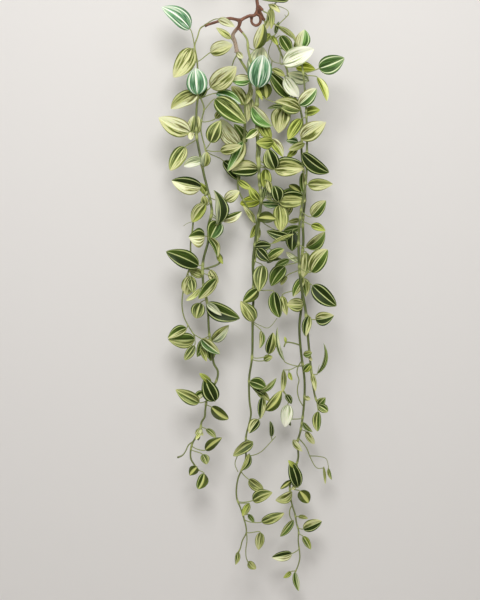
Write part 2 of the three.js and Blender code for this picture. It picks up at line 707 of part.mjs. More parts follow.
for (const stem of trailingStems) {
  const { start, hang, within } = stem.depth;
  const depthAt = (pixelY) => start + (hang - start) * smooth((pixelY - stem.top) / within);
  const { end, heading } = woodBranches[stem.from];
  const random = draws(stem.seed);
  const parts = [];
  const axes = [];
  stem.vines.forEach(({ radii, way }, n) => {
    const places = way.map(([x, y]) => place(x, y, depthAt(y)));
    if (n) {
      const { axis, i } = nearest(axes, places[0]);
      places[0] = axis[i];
    } else {
      places.unshift(end.clone().addScaledVector(heading, STRAIGHT_START));
    }
    const points = route(places, n ? SIDE_STEP : STEM_STEP);
    if (!n) points.unshift(end.clone().addScaledVector(heading, FIT_GAP));
    parts.push(taper(points, radii, STEM_SIDES));
    axes.push(fineAxis(points));
  });
  for (const [baseX, baseY, tipX, tipY, width, forward, lean] of stem.leaves) {
    const depth = depthAt(baseY) + forward;
    const base = place(baseX, baseY, depth);
    const tip = place(tipX, tipY, depth + lean);
    const along = tip.clone().sub(base).normalize();
    const facing = TOWARDS_VIEWER.clone().applyAxisAngle(along, (random() - 0.5) * LEAF_ROLL);
    parts.push(leaf(leafRoot(axes, base), base, tip, width * MM_PER_PIXEL, facing));
  }
  addPiece(stem.name, wasm.Manifold.union(parts), LEAF);
}

// Crown shoots: each rises from the soil, arches over the rim and droops, with leaves on alternate sides of
// its outer part
const UP = new THREE.Vector3(0, 0, 1);
const SHOOT_RADII = [1.5, 0.8];
const SHOOT_DEPTH = 22;
const SHOOT_HOLE_RADIUS = 2.1;
const SHOOT_LEAF_LENGTH = 40;
const SHOOT_LEAF_WIDTH = 19;
const SHOOT_LEAF_STALK = 5;
const FIRST_LEAF_AT = 0.36;
const crownShoots = [
  { bearing: -68, root: 40, reach: 96, rise: 40, drop: -50, leaves: 7 },
  { bearing: -40, root: 50, reach: 104, rise: 54, drop: -64, leaves: 8 },
  { bearing: -12, root: 44, reach: 96, rise: 68, drop: -12, leaves: 7 },
  { bearing: 16, root: 47, reach: 108, rise: 50, drop: -64, leaves: 8 },
  { bearing: 39, root: 34, reach: 90, rise: 72, drop: -22, leaves: 7 },
  { bearing: -48, root: 26, reach: 44, rise: 94, drop: 76, leaves: 6, leafSize: 0.8 },
  { bearing: 22, root: 17, reach: 29, rise: 94, drop: 82, leaves: 6, leafSize: 0.66 },
  { bearing: 68, root: 50, reach: 100, rise: 38, drop: -58, leaves: 7 },
];
const soilHoles = [];

// An upright hole from a little below a stem's foot to above the soil
const SOIL_HOLE_SIDES = 10;

function soilHole(foot, radius) {
  const ends = [foot.clone().setZ(foot.z - FIT_GAP), foot.clone().setZ(0)];
  return toSolid(bar(ends, [radius, radius], SOIL_HOLE_SIDES));
}

crownShoots.forEach((shoot, n) => {
  const bearing = THREE.MathUtils.degToRad(shoot.bearing);
  const outward = new THREE.Vector3(Math.sin(bearing), -Math.cos(bearing), 0);
  const at = (radius, height) => outward.clone().multiplyScalar(radius).setZ(height);
  const spread = shoot.reach - shoot.root;
  const foot = at(shoot.root, -SOIL_BELOW_RIM - SHOOT_DEPTH);
  const points = route(
    [
      at(shoot.root, -SOIL_BELOW_RIM + 3),
      at(shoot.root + spread * 0.28, shoot.rise * 0.85),
      at(shoot.root + spread * 0.7, shoot.rise * 0.8),
      at(shoot.reach, shoot.drop * 0.3),
      at(shoot.reach + 6, shoot.drop),
    ],
    SIDE_STEP,
  );
  points.unshift(foot);
  soilHoles.push(soilHole(foot, SHOOT_HOLE_RADIUS));
  const axis = fineAxis(points);
  const random = draws(601 + n * 37);
  const parts = [taper(points, SHOOT_RADII, STEM_SIDES)];
  const last = axis.length - 1;
  for (let k = 0; k < shoot.leaves; k++) {
    const isTip = k === shoot.leaves - 1;
    const i = Math.round(last * (FIRST_LEAF_AT + ((1 - FIRST_LEAF_AT) * k) / (shoot.leaves - 1)));
    const tangent = axis[Math.min(i + 2, last)].clone().sub(axis[Math.max(i - 2, 0)]).normalize();
    const lateral = outward.clone().cross(UP).multiplyScalar(k % 2 ? 1 : -1);
    const raised = tangent.clone().cross(outward.clone().cross(UP)).multiplyScalar(-1);
    const aim = tangent.clone().multiplyScalar(isTip ? 1.2 : 0.55 + 0.3 * random());
    aim.addScaledVector(lateral, isTip ? 0.15 : 0.75).addScaledVector(raised, 0.25).normalize();
    const size = (shoot.leafSize ?? 1) * (0.8 + 0.25 * random());
    const base = axis[i].clone().addScaledVector(aim, SHOOT_LEAF_STALK);
    const tip = base.clone().addScaledVector(aim, SHOOT_LEAF_LENGTH * size);
    const facing = raised.clone().addScaledVector(lateral, -0.3).addScaledVector(UP, 0.4).normalize();
    parts.push(leaf(axis[Math.max(i - 1, 0)], base, tip, SHOOT_LEAF_WIDTH * size, facing));
  }
  addPiece("crown_shoot_" + (n + 1), wasm.Manifold.union(parts), LEAF);
});

// Soil: fills the hollow of the pot, with a plain hole for the wood and for each shoot
const TRUNK_HOLE_RADIUS = 3.5;
soilHoles.push(soilHole(trunkFoot, TRUNK_HOLE_RADIUS));
let soil = turned(hollowProfile(FIT_GAP, -SOIL_BELOW_RIM)).intersect(front(-POT_WALL - FIT_GAP));
for (const hole of soilHoles) {
  soil = soil.subtract(hole);
}
addPiece("soil", soil, SOIL);

export default object;
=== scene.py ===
import math

import bmesh
import bpy
from mathutils import Matrix, Vector, noise


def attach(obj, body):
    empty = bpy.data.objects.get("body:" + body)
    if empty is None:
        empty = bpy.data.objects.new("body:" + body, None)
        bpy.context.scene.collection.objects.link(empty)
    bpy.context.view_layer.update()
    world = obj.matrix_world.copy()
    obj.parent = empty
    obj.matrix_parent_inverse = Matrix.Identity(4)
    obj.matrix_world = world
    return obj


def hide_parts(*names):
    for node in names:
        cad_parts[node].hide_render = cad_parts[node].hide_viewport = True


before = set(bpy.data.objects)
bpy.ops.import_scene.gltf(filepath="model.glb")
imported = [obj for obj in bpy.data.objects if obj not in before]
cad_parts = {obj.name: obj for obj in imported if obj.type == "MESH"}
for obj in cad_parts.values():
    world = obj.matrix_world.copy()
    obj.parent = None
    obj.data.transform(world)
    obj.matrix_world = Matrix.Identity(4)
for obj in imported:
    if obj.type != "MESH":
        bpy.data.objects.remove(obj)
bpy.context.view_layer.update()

# Camera: square to the wall and level with the middle of the stems, as in the photograph. One pixel of its
# 480 x 600 covers 1.3 mm of the plant, which hangs some 50 mm in front of the wall.
MM = 0.001
FRAME_MIDDLE_X = 240
FRAME_MIDDLE_Y = 300
FRAME_HEIGHT = 600
PIXEL = 1.3 * MM
PLANT_Y = -50 * MM
VIEWER = Vector((-26 * MM, -2450 * MM, -537 * MM))
SENSOR_HEIGHT = 36

scene = bpy.context.scene
camera = bpy.data.objects.new("camera", bpy.data.cameras.new("camera"))
camera.data.sensor_width = SENSOR_HEIGHT
camera.data.lens = SENSOR_HEIGHT * (PLANT_Y - VIEWER.y) / (FRAME_HEIGHT * PIXEL)
camera.location = VIEWER
camera.rotation_euler = (math.pi / 2, 0, 0)
scene.collection.objects.link(camera)
scene.camera = camera
scene.view_settings.view_transform = "Standard"

# Studio: a wall painted a warm matt grey-white, and a pale floor well below the plant. The wall is painted on
# its front only: seen from behind it is clear, and it is open behind the pot, so that the back shows too.
WALL_Y = 0.5 * MM
WALL_HALF_WIDTH = 3.0
WALL_TOP = 2.0
# Half of the opening's outline, right of its middle: x and z in mm
WALL_OPENING = [(49.5, -110.5), (74.5, -12.5), (78, -12), (78, -2), (15, -2), (15, 30), (8.5, 40)]
FLOOR_Z = -1.45
FLOOR_HALF_WIDTH = 5.0
WALL_PAINT = "#dcd9d6"
FLOOR_PAINT = "#dddad6"
ROLLER_GRAIN = 1.5 * MM


def linear(colour):
    """An sRGB colour such as "#eeebe3" as linear red, green and blue, with an alpha of 1."""
    channels = [int(colour[i : i + 2], 16) / 255 for i in (1, 3, 5)]
    return (*[c / 12.92 if c <= 0.04045 else ((c + 0.055) / 1.055) ** 2.4 for c in channels], 1.0)


def add_node(tree, kind, inputs, **settings):
    """Adds a node with its settings. An input is a plain value, or the socket that it is linked from."""
    node = tree.nodes.new(kind)
    for name, value in settings.items():
        setattr(node, name, value)
    for key, value in inputs.items():
        if isinstance(value, bpy.types.NodeSocket):
            tree.links.new(value, node.inputs[key])
        else:
            node.inputs[key].default_value = value
    return node


def new_material(name):
    """A material, its node tree and its surface shader."""
    material = bpy.data.materials.new(name)
    material.use_nodes = True
    return material, material.node_tree, material.node_tree.nodes["Principled BSDF"]


def connect(tree, surface, **links):
    """Links sockets to the surface shader's inputs, which are named in small letters here."""
    for name, socket in links.items():
        tree.links.new(socket, surface.inputs[name.replace("_", " ").title()])


def add_sheet(name, corners, material, opening=()):
    """A flat piece of the studio with four corners. It may have an opening, given by its own corners."""
    form = bmesh.new()
    for outline in (corners, opening):
        ring = [form.verts.new(corner) for corner in outline]
        for i in range(len(ring)):
            form.edges.new((ring[i - 1], ring[i]))
    bmesh.ops.triangle_fill(form, edges=form.edges, use_beauty=True)
    up_or_front = Vector(corners[1]) - Vector(corners[0])
    up_or_front = up_or_front.cross(Vector(corners[2]) - Vector(corners[1]))
    for face in form.faces:
        if face.normal.dot(up_or_front) < 0:
            face.normal_flip()
    mesh = bpy.data.meshes.new(name)
    form.to_mesh(mesh)
    form.free()
    mesh.materials.append(material)
    sheet = bpy.data.objects.new(name, mesh)
    scene.collection.objects.link(sheet)


# Emulsion on plaster: matt, with the faint stipple of a roller
def paint_material(name, colour, one_sided):
    material, tree, surface = new_material(name)
    place_in_room = add_node(tree, "ShaderNodeTexCoord", {}).outputs["Object"]
    inputs = {"Vector": place_in_room, "Scale": 1 / ROLLER_GRAIN, "Detail": 1.0}
    stipple = add_node(tree, "ShaderNodeTexNoise", inputs).outputs[0]
    inputs = {"Height": stipple, "Strength": 0.1, "Distance": 0.2 * MM}
    bump = add_node(tree, "ShaderNodeBump", inputs).outputs[0]
    surface.inputs["Base Color"].default_value = linear(colour)
    surface.inputs["Roughness"].default_value = 0.85
    connect(tree, surface, normal=bump)
    if one_sided:
        back = add_node(tree, "ShaderNodeNewGeometry", {}).outputs["Backfacing"]
        clear = add_node(tree, "ShaderNodeBsdfTransparent", {}).outputs[0]
        either = add_node(tree, "ShaderNodeMixShader", {0: back, 1: surface.outputs[0], 2: clear}).outputs[0]
        tree.links.new(either, tree.nodes["Material Output"].inputs["Surface"])
    return material


# Corners run so that the wall's front face looks towards -Y. The opening lies wholly behind the pot's back.
wall_sides = (-WALL_HALF_WIDTH, WALL_HALF_WIDTH)
wall_corners = [(x, WALL_Y, FLOOR_Z) for x in wall_sides]
wall_corners += [(x, WALL_Y, WALL_TOP) for x in reversed(wall_sides)]
right_half = [(x * MM, WALL_Y, z * MM) for x, z in WALL_OPENING]
opening = right_half + [(-x, y, z) for x, y, z in reversed(right_half)]
add_sheet("studio_wall", wall_corners, paint_material("matt_wall_paint", WALL_PAINT, True), opening)
floor_sides = (-FLOOR_HALF_WIDTH, FLOOR_HALF_WIDTH)
floor_corners = [(x, floor_sides[0], FLOOR_Z) for x in floor_sides]
floor_corners += [(x, floor_sides[1], FLOOR_Z) for x in reversed(floor_sides)]
add_sheet("studio_floor", floor_corners, paint_material("matt_floor_paint", FLOOR_PAINT, False))

# Light: one soft lamp in front, high and near the middle. It throws each leaf's soft shadow on the wall just
# below it and fades down the wall, and even light from all round fills the rest.
LAMP_SIZE = 1.0
LAMP_WATTS = 23.3
LAMP_SPREAD = math.radians(170)
LAMP_PLACE = Vector((-0.06, -1.6, 0.45))
LAMP_AIM = Vector((0, 0, -0.25))
ROOM_LIGHT = 0.43
ROOM_COLOUR = "#f6f5f3"

lamp = bpy.data.objects.new("soft_lamp", bpy.data.lights.new("soft_lamp", "AREA"))
lamp.data.shape = "DISK"
lamp.data.size = LAMP_SIZE
lamp.data.spread = LAMP_SPREAD
lamp.data.energy = LAMP_WATTS
lamp.location = LAMP_PLACE
lamp.rotation_euler = (LAMP_AIM - LAMP_PLACE).to_track_quat("-Z", "Y").to_euler()
scene.collection.objects.link(lamp)

scene.world = bpy.data.worlds.new("room")
scene.world.use_nodes = True
room = scene.world.node_tree.nodes["Background"]
room.inputs["Color"].default_value = linear(ROOM_COLOUR)
room.inputs["Strength"].default_value = ROOM_LIGHT

# Pot: a half-round wall pot of cast stoneware, with a flat back, a rolled lip, a drain hole in its foot and a
# tab with one screw hole that stands up behind the rim. It is glazed all over and hangs flat on the wall.
POT_RADIUS = 76 * MM
POT_FOOT_RADIUS = 52 * MM
POT_HEIGHT = 112 * MM
POT_WALL = 5 * MM
POT_FLOOR = 6 * MM
LIP_HEIGHT = 14 * MM
LIP_OVERHANG = 3.5 * MM
LIP_ROUND = 3.5 * MM
TAB_HEIGHT = 44 * MM
TAB_WIDTH = 34 * MM
TAB_FLARE = 6 * MM
TAB_FOOT = -20 * MM
SCREW_HOLE_RADIUS = 3 * MM
SCREW_HOLE_HEIGHT = 28 * MM
DRAIN_RADIUS = 5 * MM
FOOT_ROUND = 4 * MM
POT_EDGE_ROUND = 0.9 * MM
POT_SEGMENTS = 96
CREASE_ANGLE = math.radians(40)
# How far a cutting tool reaches past the face that it cuts
CUT_PAST = 10 * MM
GLAZE_WHITE = "#eeebe3"
GLAZE_THIN = "#d9cdb6"
GLAZE_SPECK = "#8a6d4f"
SPECK_SPACING = 4.5 * MM
GLAZE_CLOUD = 35.7 * MM
GLAZE_RIPPLE = 16.7 * MM


def arc(centre_radius, centre_height, radius, start, end, steps=6):
    """Points of a round corner of a turned outline, between two angles in degrees."""
    angles = [math.radians(start + (end - start) * k / steps) for k in range(steps + 1)]
    return [(centre_radius + radius * math.cos(a), centre_height + radius * math.sin(a)) for a in angles]


def turned(name, outline):
    """A solid of revolution about Z. Its outline of radius and height starts and ends on the axis."""
    form = bmesh.new()
    ring = [form.verts.new((radius, 0, height)) for radius, height in outline]
    edges = [form.edges.new(pair) for pair in zip(ring, ring[1:])]
    turn = {"cent": (0, 0, 0), "axis": (0, 0, 1), "dvec": (0, 0, 0), "angle": math.tau}
    bmesh.ops.spin(form, geom=ring + edges, steps=POT_SEGMENTS, use_duplicate=False, **turn)
    bmesh.ops.remove_doubles(form, verts=form.verts, dist=0.01 * MM)
    bmesh.ops.recalc_face_normals(form, faces=form.faces)
    return to_object(name, form)


def to_object(name, form):
    """The object of a bmesh, linked to the scene."""
    mesh = bpy.data.meshes.new(name)
    form.to_mesh(mesh)
    form.free()
    made = bpy.data.objects.new(name, mesh)
    scene.collection.objects.link(made)
    return made


def slab(name, outline, back, front):
    """A prism with an outline of x and z, between two depths along Y."""
    form = bmesh.new()
    face = form.faces.new([form.verts.new((x, back, z)) for x, z in outline])
    walls = bmesh.ops.extrude_face_region(form, geom=[face])
    moved = [v for v in walls["geom"] if isinstance(v, bmesh.types.BMVert)]
    bmesh.ops.translate(form, verts=moved, vec=(0, front - back, 0))
    bmesh.ops.recalc_face_normals(form, faces=form.faces)
    return to_object(name, form)


def apply_modifier(piece, kind, **settings):
    """Adds a modifier and makes its result the piece's own mesh."""
    modifier = piece.modifiers.new(kind.lower(), kind)
    for name, value in settings.items():
        setattr(modifier, name, value)
    bpy.context.view_layer.objects.active = piece
    bpy.ops.object.modifier_apply(modifier=modifier.name)


def combine(piece, tool, operation):
    """Cuts a tool out of a piece, joins it on, or keeps what they share. The tool is used up."""
    apply_modifier(piece, "BOOLEAN", object=tool, operation=operation, solver="EXACT")
    bpy.data.objects.remove(tool)


def hollow_outline(gap, top):
    """The outline of the pot's inside up to a height, smaller all round by a gap."""
    floor = -POT_HEIGHT + POT_FLOOR + gap
    mouth = POT_RADIUS - POT_WALL - gap
    foot = POT_FOOT_RADIUS - POT_WALL - gap
    corner = [(foot - 2 * MM, floor), (foot + 0.5 * MM, floor + FOOT_ROUND)]
    return [(0, floor), *corner, (mouth, -LIP_HEIGHT), (mouth, top), (0, top)]


lip_radius = POT_RADIUS + LIP_OVERHANG
lip_corner = lip_radius - LIP_ROUND
foot_corner = POT_FOOT_RADIUS - FOOT_ROUND
pot_outline = [(0, -POT_HEIGHT), (foot_corner, -POT_HEIGHT)]
pot_outline += arc(foot_corner, -POT_HEIGHT + FOOT_ROUND, FOOT_ROUND, -80, 0)
pot_outline += [(POT_RADIUS, -LIP_HEIGHT)]
pot_outline += arc(lip_corner, -LIP_HEIGHT + LIP_ROUND, LIP_ROUND, -75, 0)
pot_outline += arc(lip_corner, -LIP_ROUND, LIP_ROUND, 0, 90)
pot_outline += [(0, 0)]
far = 2 * POT_RADIUS
square = [(-far, -far), (far, -far), (far, far), (-far, far)]
half_tab = TAB_WIDTH / 2
tab_outline = [(-half_tab - TAB_FLARE, TAB_FOOT), (half_tab + TAB_FLARE, TAB_FOOT), (half_tab, TAB_FLARE)]
tab_outline += arc(0, TAB_HEIGHT - half_tab, half_tab, 0, 180, 24)
tab_outline += [(-half_tab, TAB_FLARE)]
screw_outline = arc(0, SCREW_HOLE_HEIGHT, SCREW_HOLE_RADIUS, 0, 345, 23)
drain_outline = arc(0, -POT_FOOT_RADIUS / 2, DRAIN_RADIUS, 0, 345, 23)

pot = turned("wall_pot", pot_outline)
combine(pot, slab("behind", square, 0, far), "DIFFERENCE")
inside = turned("inside", hollow_outline(0, 2 * CUT_PAST))
combine(inside, slab("back_wall", square, -POT_WALL, far), "DIFFERENCE")
combine(pot, inside, "DIFFERENCE")
combine(pot, slab("tab", tab_outline, 0, -POT_WALL), "UNION")
combine(pot, slab("screw", screw_outline, far, -far), "DIFFERENCE")
drain = slab("drain", drain_outline, -CUT_PAST, CUT_PAST)
drain.data.transform(Matrix.Translation((0, 0, -POT_HEIGHT)) @ Matrix.Rotation(-math.pi / 2, 4, "X"))
combine(pot, drain, "DIFFERENCE")
bevel = {"segments": 3, "limit_method": "ANGLE", "angle_limit": CREASE_ANGLE}
apply_modifier(pot, "BEVEL", width=POT_EDGE_ROUND, **bevel)
pot.data.shade_smooth()
pot.data.set_sharp_from_angle(angle=CREASE_ANGLE)


# Satin-glazed stoneware: an off-white glaze that breaks to warm sand where it runs thin, with iron specks
def glaze_material():
    material, tree, surface = new_material("satin_glazed_stoneware")
    place_on_pot = add_node(tree, "ShaderNodeTexCoord", {}).outputs["Object"]
    inputs = {"Vector": place_on_pot, "Scale": 1 / GLAZE_CLOUD, "Detail": 3.0}
    cloud = add_node(tree, "ShaderNodeTexNoise", inputs).outputs[0]
    limits = {"Value": cloud, "From Min": 0.5, "From Max": 0.8, "To Max": 0.5}
    thin = add_node(tree, "ShaderNodeMapRange", limits).outputs[0]
    inputs = {0: thin, 6: linear(GLAZE_WHITE), 7: linear(GLAZE_THIN)}
    glaze = add_node(tree, "ShaderNodeMix", inputs, data_type="RGBA").outputs[2]
    inputs = {"Vector": place_on_pot, "Scale": 1 / SPECK_SPACING}
    from_speck = add_node(tree, "ShaderNodeTexVoronoi", inputs).outputs["Distance"]
    limits = {"Value": from_speck, "From Min": 0.06, "From Max": 0.12, "To Min": 0.8, "To Max": 0.0}
    speck = add_node(tree, "ShaderNodeMapRange", limits).outputs[0]
    inputs = {0: speck, 6: glaze, 7: linear(GLAZE_SPECK)}
    specked = add_node(tree, "ShaderNodeMix", inputs, data_type="RGBA").outputs[2]
    inputs = {"Vector": place_on_pot, "Scale": 1 / GLAZE_RIPPLE, "Detail": 2.0}
    ripple = add_node(tree, "ShaderNodeTexNoise", inputs).outputs[0]
    inputs = {"Height": ripple, "Strength": 0.15, "Distance": 0.5 * MM}
    bump = add_node(tree, "ShaderNodeBump", inputs).outputs[0]
    surface.inputs["Roughness"].default_value = 0.32
    surface.inputs["IOR"].default_value = 1.5
    connect(tree, surface, base_color=specked, normal=bump)
    return material


pot.data.materials.clear()
pot.data.materials.append(glaze_material())
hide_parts("pot")
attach(pot, "root")

# Soil: dark, crumbly potting compost with white perlite and bits of bark, filled to 12 mm below the rim.
# It lies against the pot's wall all round, and its top is rough.
SOIL_TOP = -12 * MM
FIT_GAP = 0.3 * MM
SOIL_RINGS = 30
SOIL_SECTORS = 72
SOIL_LUMP = 7 * MM
SOIL_CRUMB = SOIL_LUMP / 3.1
SOIL_ROUGHNESS = 2.6 * MM
LUMP_SHARE = 0.7
CRUMB_SHARE = 0.35
SOIL_SETTLED = 1 * MM
PERLITE_BITS = 70
BARK_BITS = 90
# A bit's smallest size and how much larger it may be. Bark is drawn out by 2 to 3.5 times and is flat.
BIT_SIZE = 1.2 * MM
BIT_RANGE = 1.3 * MM
BIT_RISE = 0.3 * MM
PERLITE_FORM = (1.0, 0.8, 0.7)
BARK_LONG = (2.0, 1.5)
BARK_FLAT = (0.9, 0.4)
# Bits lie up to this share of the way to the wall, tilt by up to so many radians, and are a little uneven
BIT_SPREAD = 0.95
BIT_TILT = 0.7
BIT_ROUGHNESS = 0.35
BIT_SEED = 77
SOIL_DARK = "#231812"
SOIL_LIGHT = "#4d3828"
PERLITE_WHITE = "#e9e6de"
BARK_BROWN = "#6a4830"


def draws(seed):
    """A function that gives the next repeatable random number from 0 to 1."""
    state = [seed]

    def draw():
        state[0] = (state[0] * 1103 + 12347) % 65536
        return state[0] / 65536

    return draw


def soil_edge(angle, radius):
    """How far a round wall of a radius is from the middle of the flat back, at an angle below the X axis."""
    offset = POT_WALL + FIT_GAP
    across = offset * math.cos(angle)
    return math.sqrt(radius * radius - across * across) - offset * math.sin(angle)


def soil_point(angle, share, radius, height):
    """A place in the soil, a share of the way from the middle of the flat back to the round wall."""
    reach = share * soil_edge(angle, radius)
    return Vector((reach * math.cos(angle), -POT_WALL - FIT_GAP - reach * math.sin(angle), height))


def soil_height(point):
    """The height of the rough top at a place: lumps and finer crumbs."""
    lump = noise.noise(point / SOIL_LUMP)
    crumb = noise.noise(point / SOIL_CRUMB)
    rough = LUMP_SHARE * lump + CRUMB_SHARE * crumb
    return SOIL_TOP + SOIL_ROUGHNESS * rough - SOIL_SETTLED


def build_soil():
    """The soil as one closed body. Bits of perlite and bark lie in its top and stay inside the pot."""
    form = bmesh.new()
    angles = [math.pi * k / SOIL_SECTORS for k in range(SOIL_SECTORS + 1)]
    outline = hollow_outline(FIT_GAP, SOIL_TOP)
    mouth = outline[-2][0]
    middle = form.verts.new(soil_point(0, 0, mouth, SOIL_TOP))
    rows = []
    for ring in range(1, SOIL_RINGS + 1):
        points = [soil_point(a, ring / SOIL_RINGS, mouth, 0) for a in angles]
        rows.append([form.verts.new((p.x, p.y, soil_height(p))) for p in points])
    for radius, height in reversed(outline[1:-2]):
        rows.append([form.verts.new(soil_point(a, 1, radius, height)) for a in angles])
    foot = form.verts.new(soil_point(0, 0, mouth, outline[0][1]))
    for upper, lower in zip(rows, rows[1:]):
        for k in range(SOIL_SECTORS):
            form.faces.new((upper[k], upper[k + 1], lower[k + 1], lower[k]))
    for k in range(SOIL_SECTORS):
        form.faces.new((middle, rows[0][k + 1], rows[0][k]))
        form.faces.new((foot, rows[-1][k], rows[-1][k + 1]))
    back = [middle, *[row[0] for row in rows], foot, *[row[-1] for row in reversed(rows)]]
    form.faces.new(back)
    random = draws(BIT_SEED)
    for n in range(PERLITE_BITS + BARK_BITS):
        is_perlite = n < PERLITE_BITS
        at = soil_point(math.pi * random(), math.sqrt(random()) * BIT_SPREAD, mouth, 0)
        at.z = soil_height(at) + BIT_RISE
        size = BIT_SIZE + BIT_RANGE * random()
        grain = Vector(PERLITE_FORM if is_perlite else (BARK_LONG[0] + BARK_LONG[1] * random(), *BARK_FLAT))
        turn = Matrix.Rotation(math.tau * random(), 4, "Z") @ Matrix.Rotation(BIT_TILT * random(), 4, "X")
        shape = Matrix.Translation(at) @ turn @ Matrix.Diagonal((grain * size).to_4d())
        bit = bmesh.ops.create_icosphere(form, subdivisions=1, radius=1.0, matrix=shape)
        for vertex in bit["verts"]:
            vertex.co += (vertex.co - at) * BIT_ROUGHNESS * noise.noise(vertex.co / size)
            vertex.co.y = min(vertex.co.y, -POT_WALL - FIT_GAP)
            vertex.co.xy *= min(1, mouth / vertex.co.xy.length)
            for face in vertex.link_faces:
                face.material_index = 1 if is_perlite else 2
    bmesh.ops.recalc_face_normals(form, faces=form.faces)
    return to_object("potting_soil", form)


# Potting compost: matt, nearly black when damp, with lighter dry crumbs of about 2 mm
def compost_material():
    material, tree, surface = new_material("potting_compost")
    place_in_pot = add_node(tree, "ShaderNodeTexCoord", {}).outputs["Object"]
    inputs = {"Vector": place_in_pot, "Scale": 1 / (2 * MM), "Detail": 4.0}
    crumbs = add_node(tree, "ShaderNodeTexNoise", inputs).outputs[0]
    limits = {"Value": crumbs, "From Min": 0.42, "From Max": 0.7}
    dry = add_node(tree, "ShaderNodeMapRange", limits).outputs[0]
    inputs = {0: dry, 6: linear(SOIL_DARK), 7: linear(SOIL_LIGHT)}
    colour = add_node(tree, "ShaderNodeMix", inputs, data_type="RGBA").outputs[2]
    inputs = {"Height": crumbs, "Strength": 0.9, "Distance": 1.0 * MM}
    bump = add_node(tree, "ShaderNodeBump", inputs).outputs[0]
    surface.inputs["Roughness"].default_value = 0.95
    connect(tree, surface, base_color=colour, normal=bump)
    return material


# Perlite and bark: one matt colour each, uneven with fine pores or fibres
def crumb_material(name, colour, pore_size):
    material, tree, surface = new_material(name)
    place_in_pot = add_node(tree, "ShaderNodeTexCoord", {}).outputs["Object"]
    inputs = {"Vector": place_in_pot, "Scale": 1 / pore_size, "Detail": 2.0}
    pores = add_node(tree, "ShaderNodeTexNoise", inputs).outputs[0]
    limits = {"Value": pores, "To Min": 0.55, "To Max": 1.25}
    shade = add_node(tree, "ShaderNodeMapRange", limits).outputs[0]
    inputs = {0: linear(colour)[:3], "Scale": shade}
    tinted = add_node(tree, "ShaderNodeVectorMath", inputs, operation="SCALE").outputs[0]
    surface.inputs["Roughness"].default_value = 0.9
    connect(tree, surface, base_color=tinted)
    return material


soil = build_soil()
soil.data.materials.append(compost_material())
soil.data.materials.append(crumb_material("expanded_perlite", PERLITE_WHITE, 0.6 * MM))
soil.data.materials.append(crumb_material("pine_bark_chip", BARK_BROWN, 0.8 * MM))
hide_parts("soil")
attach(soil, "root")

# Woody stem: one old stem that grew up out of the soil, leaned over the rim and forked. Its thin bark is
# pink-brown with darker cracks, and worn pale on the branch that hangs down. It is knotty where it forks, and
# one branch curls back on itself.
SOIL_HOLE_X = -4
SOIL_HOLE_Y = -44
BARK_STEP = 1.6 * MM
BARK_SIDES = 14
BARK_ROUGHNESS = 0.22
BARK_LUMP = 5 * MM
# Width and length in mm of the bark's streaks and of its cracks
BARK_STREAK = (1.11, 8.33)
CRACK_SIZE = (0.55, 2.56)
BARK_PINK = "#94644c"
BARK_RED = "#5f3d2f"
BARK_CRACK = "#33201a"
BARK_WORN = "#bda994"
# The fork's bark begins to pale this far along it, and is worn all over at twice as far
WORN_FROM = 10 * MM
WORN_PALENESS = 0.85
# How long a knot is, and by what share a branch swells at its start and at its end
KNOT_LENGTH = 4 * MM
START_KNOT = 0.35
END_KNOT = 0.3
BRANCH_SEED_STEP = 3.7
TRUNK_RISE = [
    (SOIL_HOLE_X, SOIL_HOLE_Y, -36),
    (SOIL_HOLE_X, SOIL_HOLE_Y, -8),
    (SOIL_HOLE_X + 1, -50, 12),
    (SOIL_HOLE_X + 1, -70, 16),
    (SOIL_HOLE_X, -86.5, 2),
    (SOIL_HOLE_X - 2, -90, -30),
    (SOIL_HOLE_X, -87, -90),
]
# Each branch: its radius in mm at both ends, and its places as pixel x, pixel y and mm in front of the wall
WOOD_BRANCHES = {
    "trunk": ((2.9, 2.0), [(257, 0, 82), (257.5, 8, 79), (255, 15, 76), (249, 16, 74), (240, 20.5, 70)]),
    "left": ((2.0, 1.7), [(240, 20.5, 70), (229.6, 18.4, 65), (220.4, 20.7, 61), (205, 25.6, 56)]),
    "fork": (
        (2.0, 2.7),
        [(240, 20.5, 70), (239, 26, 67), (236, 30, 64), (232.8, 35, 60), (235, 42, 55), (237, 52, 50)],
    ),
    "middle": ((1.4, 1.2), [(238.8, 28.3, 66), (240.5, 30.5, 66.5), (242.5, 32.8, 67)]),
    "curl": (
        (2.1, 1.6),
        [
            (255, 13, 76),
            (259.8, 16, 73),
            (260.2, 22.5, 70),
            (256, 25.5, 68),
            (252, 23, 68),
            (251.5, 17.5, 70),
        ],
    ),
    "right": ((2.0, 1.7), [(257.5, 8, 79), (261, 14, 74), (264, 20, 69)]),
    "outer": ((2.0, 1.6), [(257.3, 6, 80), (260, 7.5, 79), (262.5, 10, 77)]),
}


def place(pixel_x, pixel_y, depth):
    """A place read off the photograph, a depth in mm in front of the wall, on the camera's line of sight."""
    y = -depth * MM
    pixel = PIXEL * (y - VIEWER.y) / (PLANT_Y - VIEWER.y)
    x = VIEWER.x + (pixel_x - FRAME_MIDDLE_X) * pixel
    z = VIEWER.z - (pixel_y - FRAME_MIDDLE_Y) * pixel
    return Vector((x, y, z))


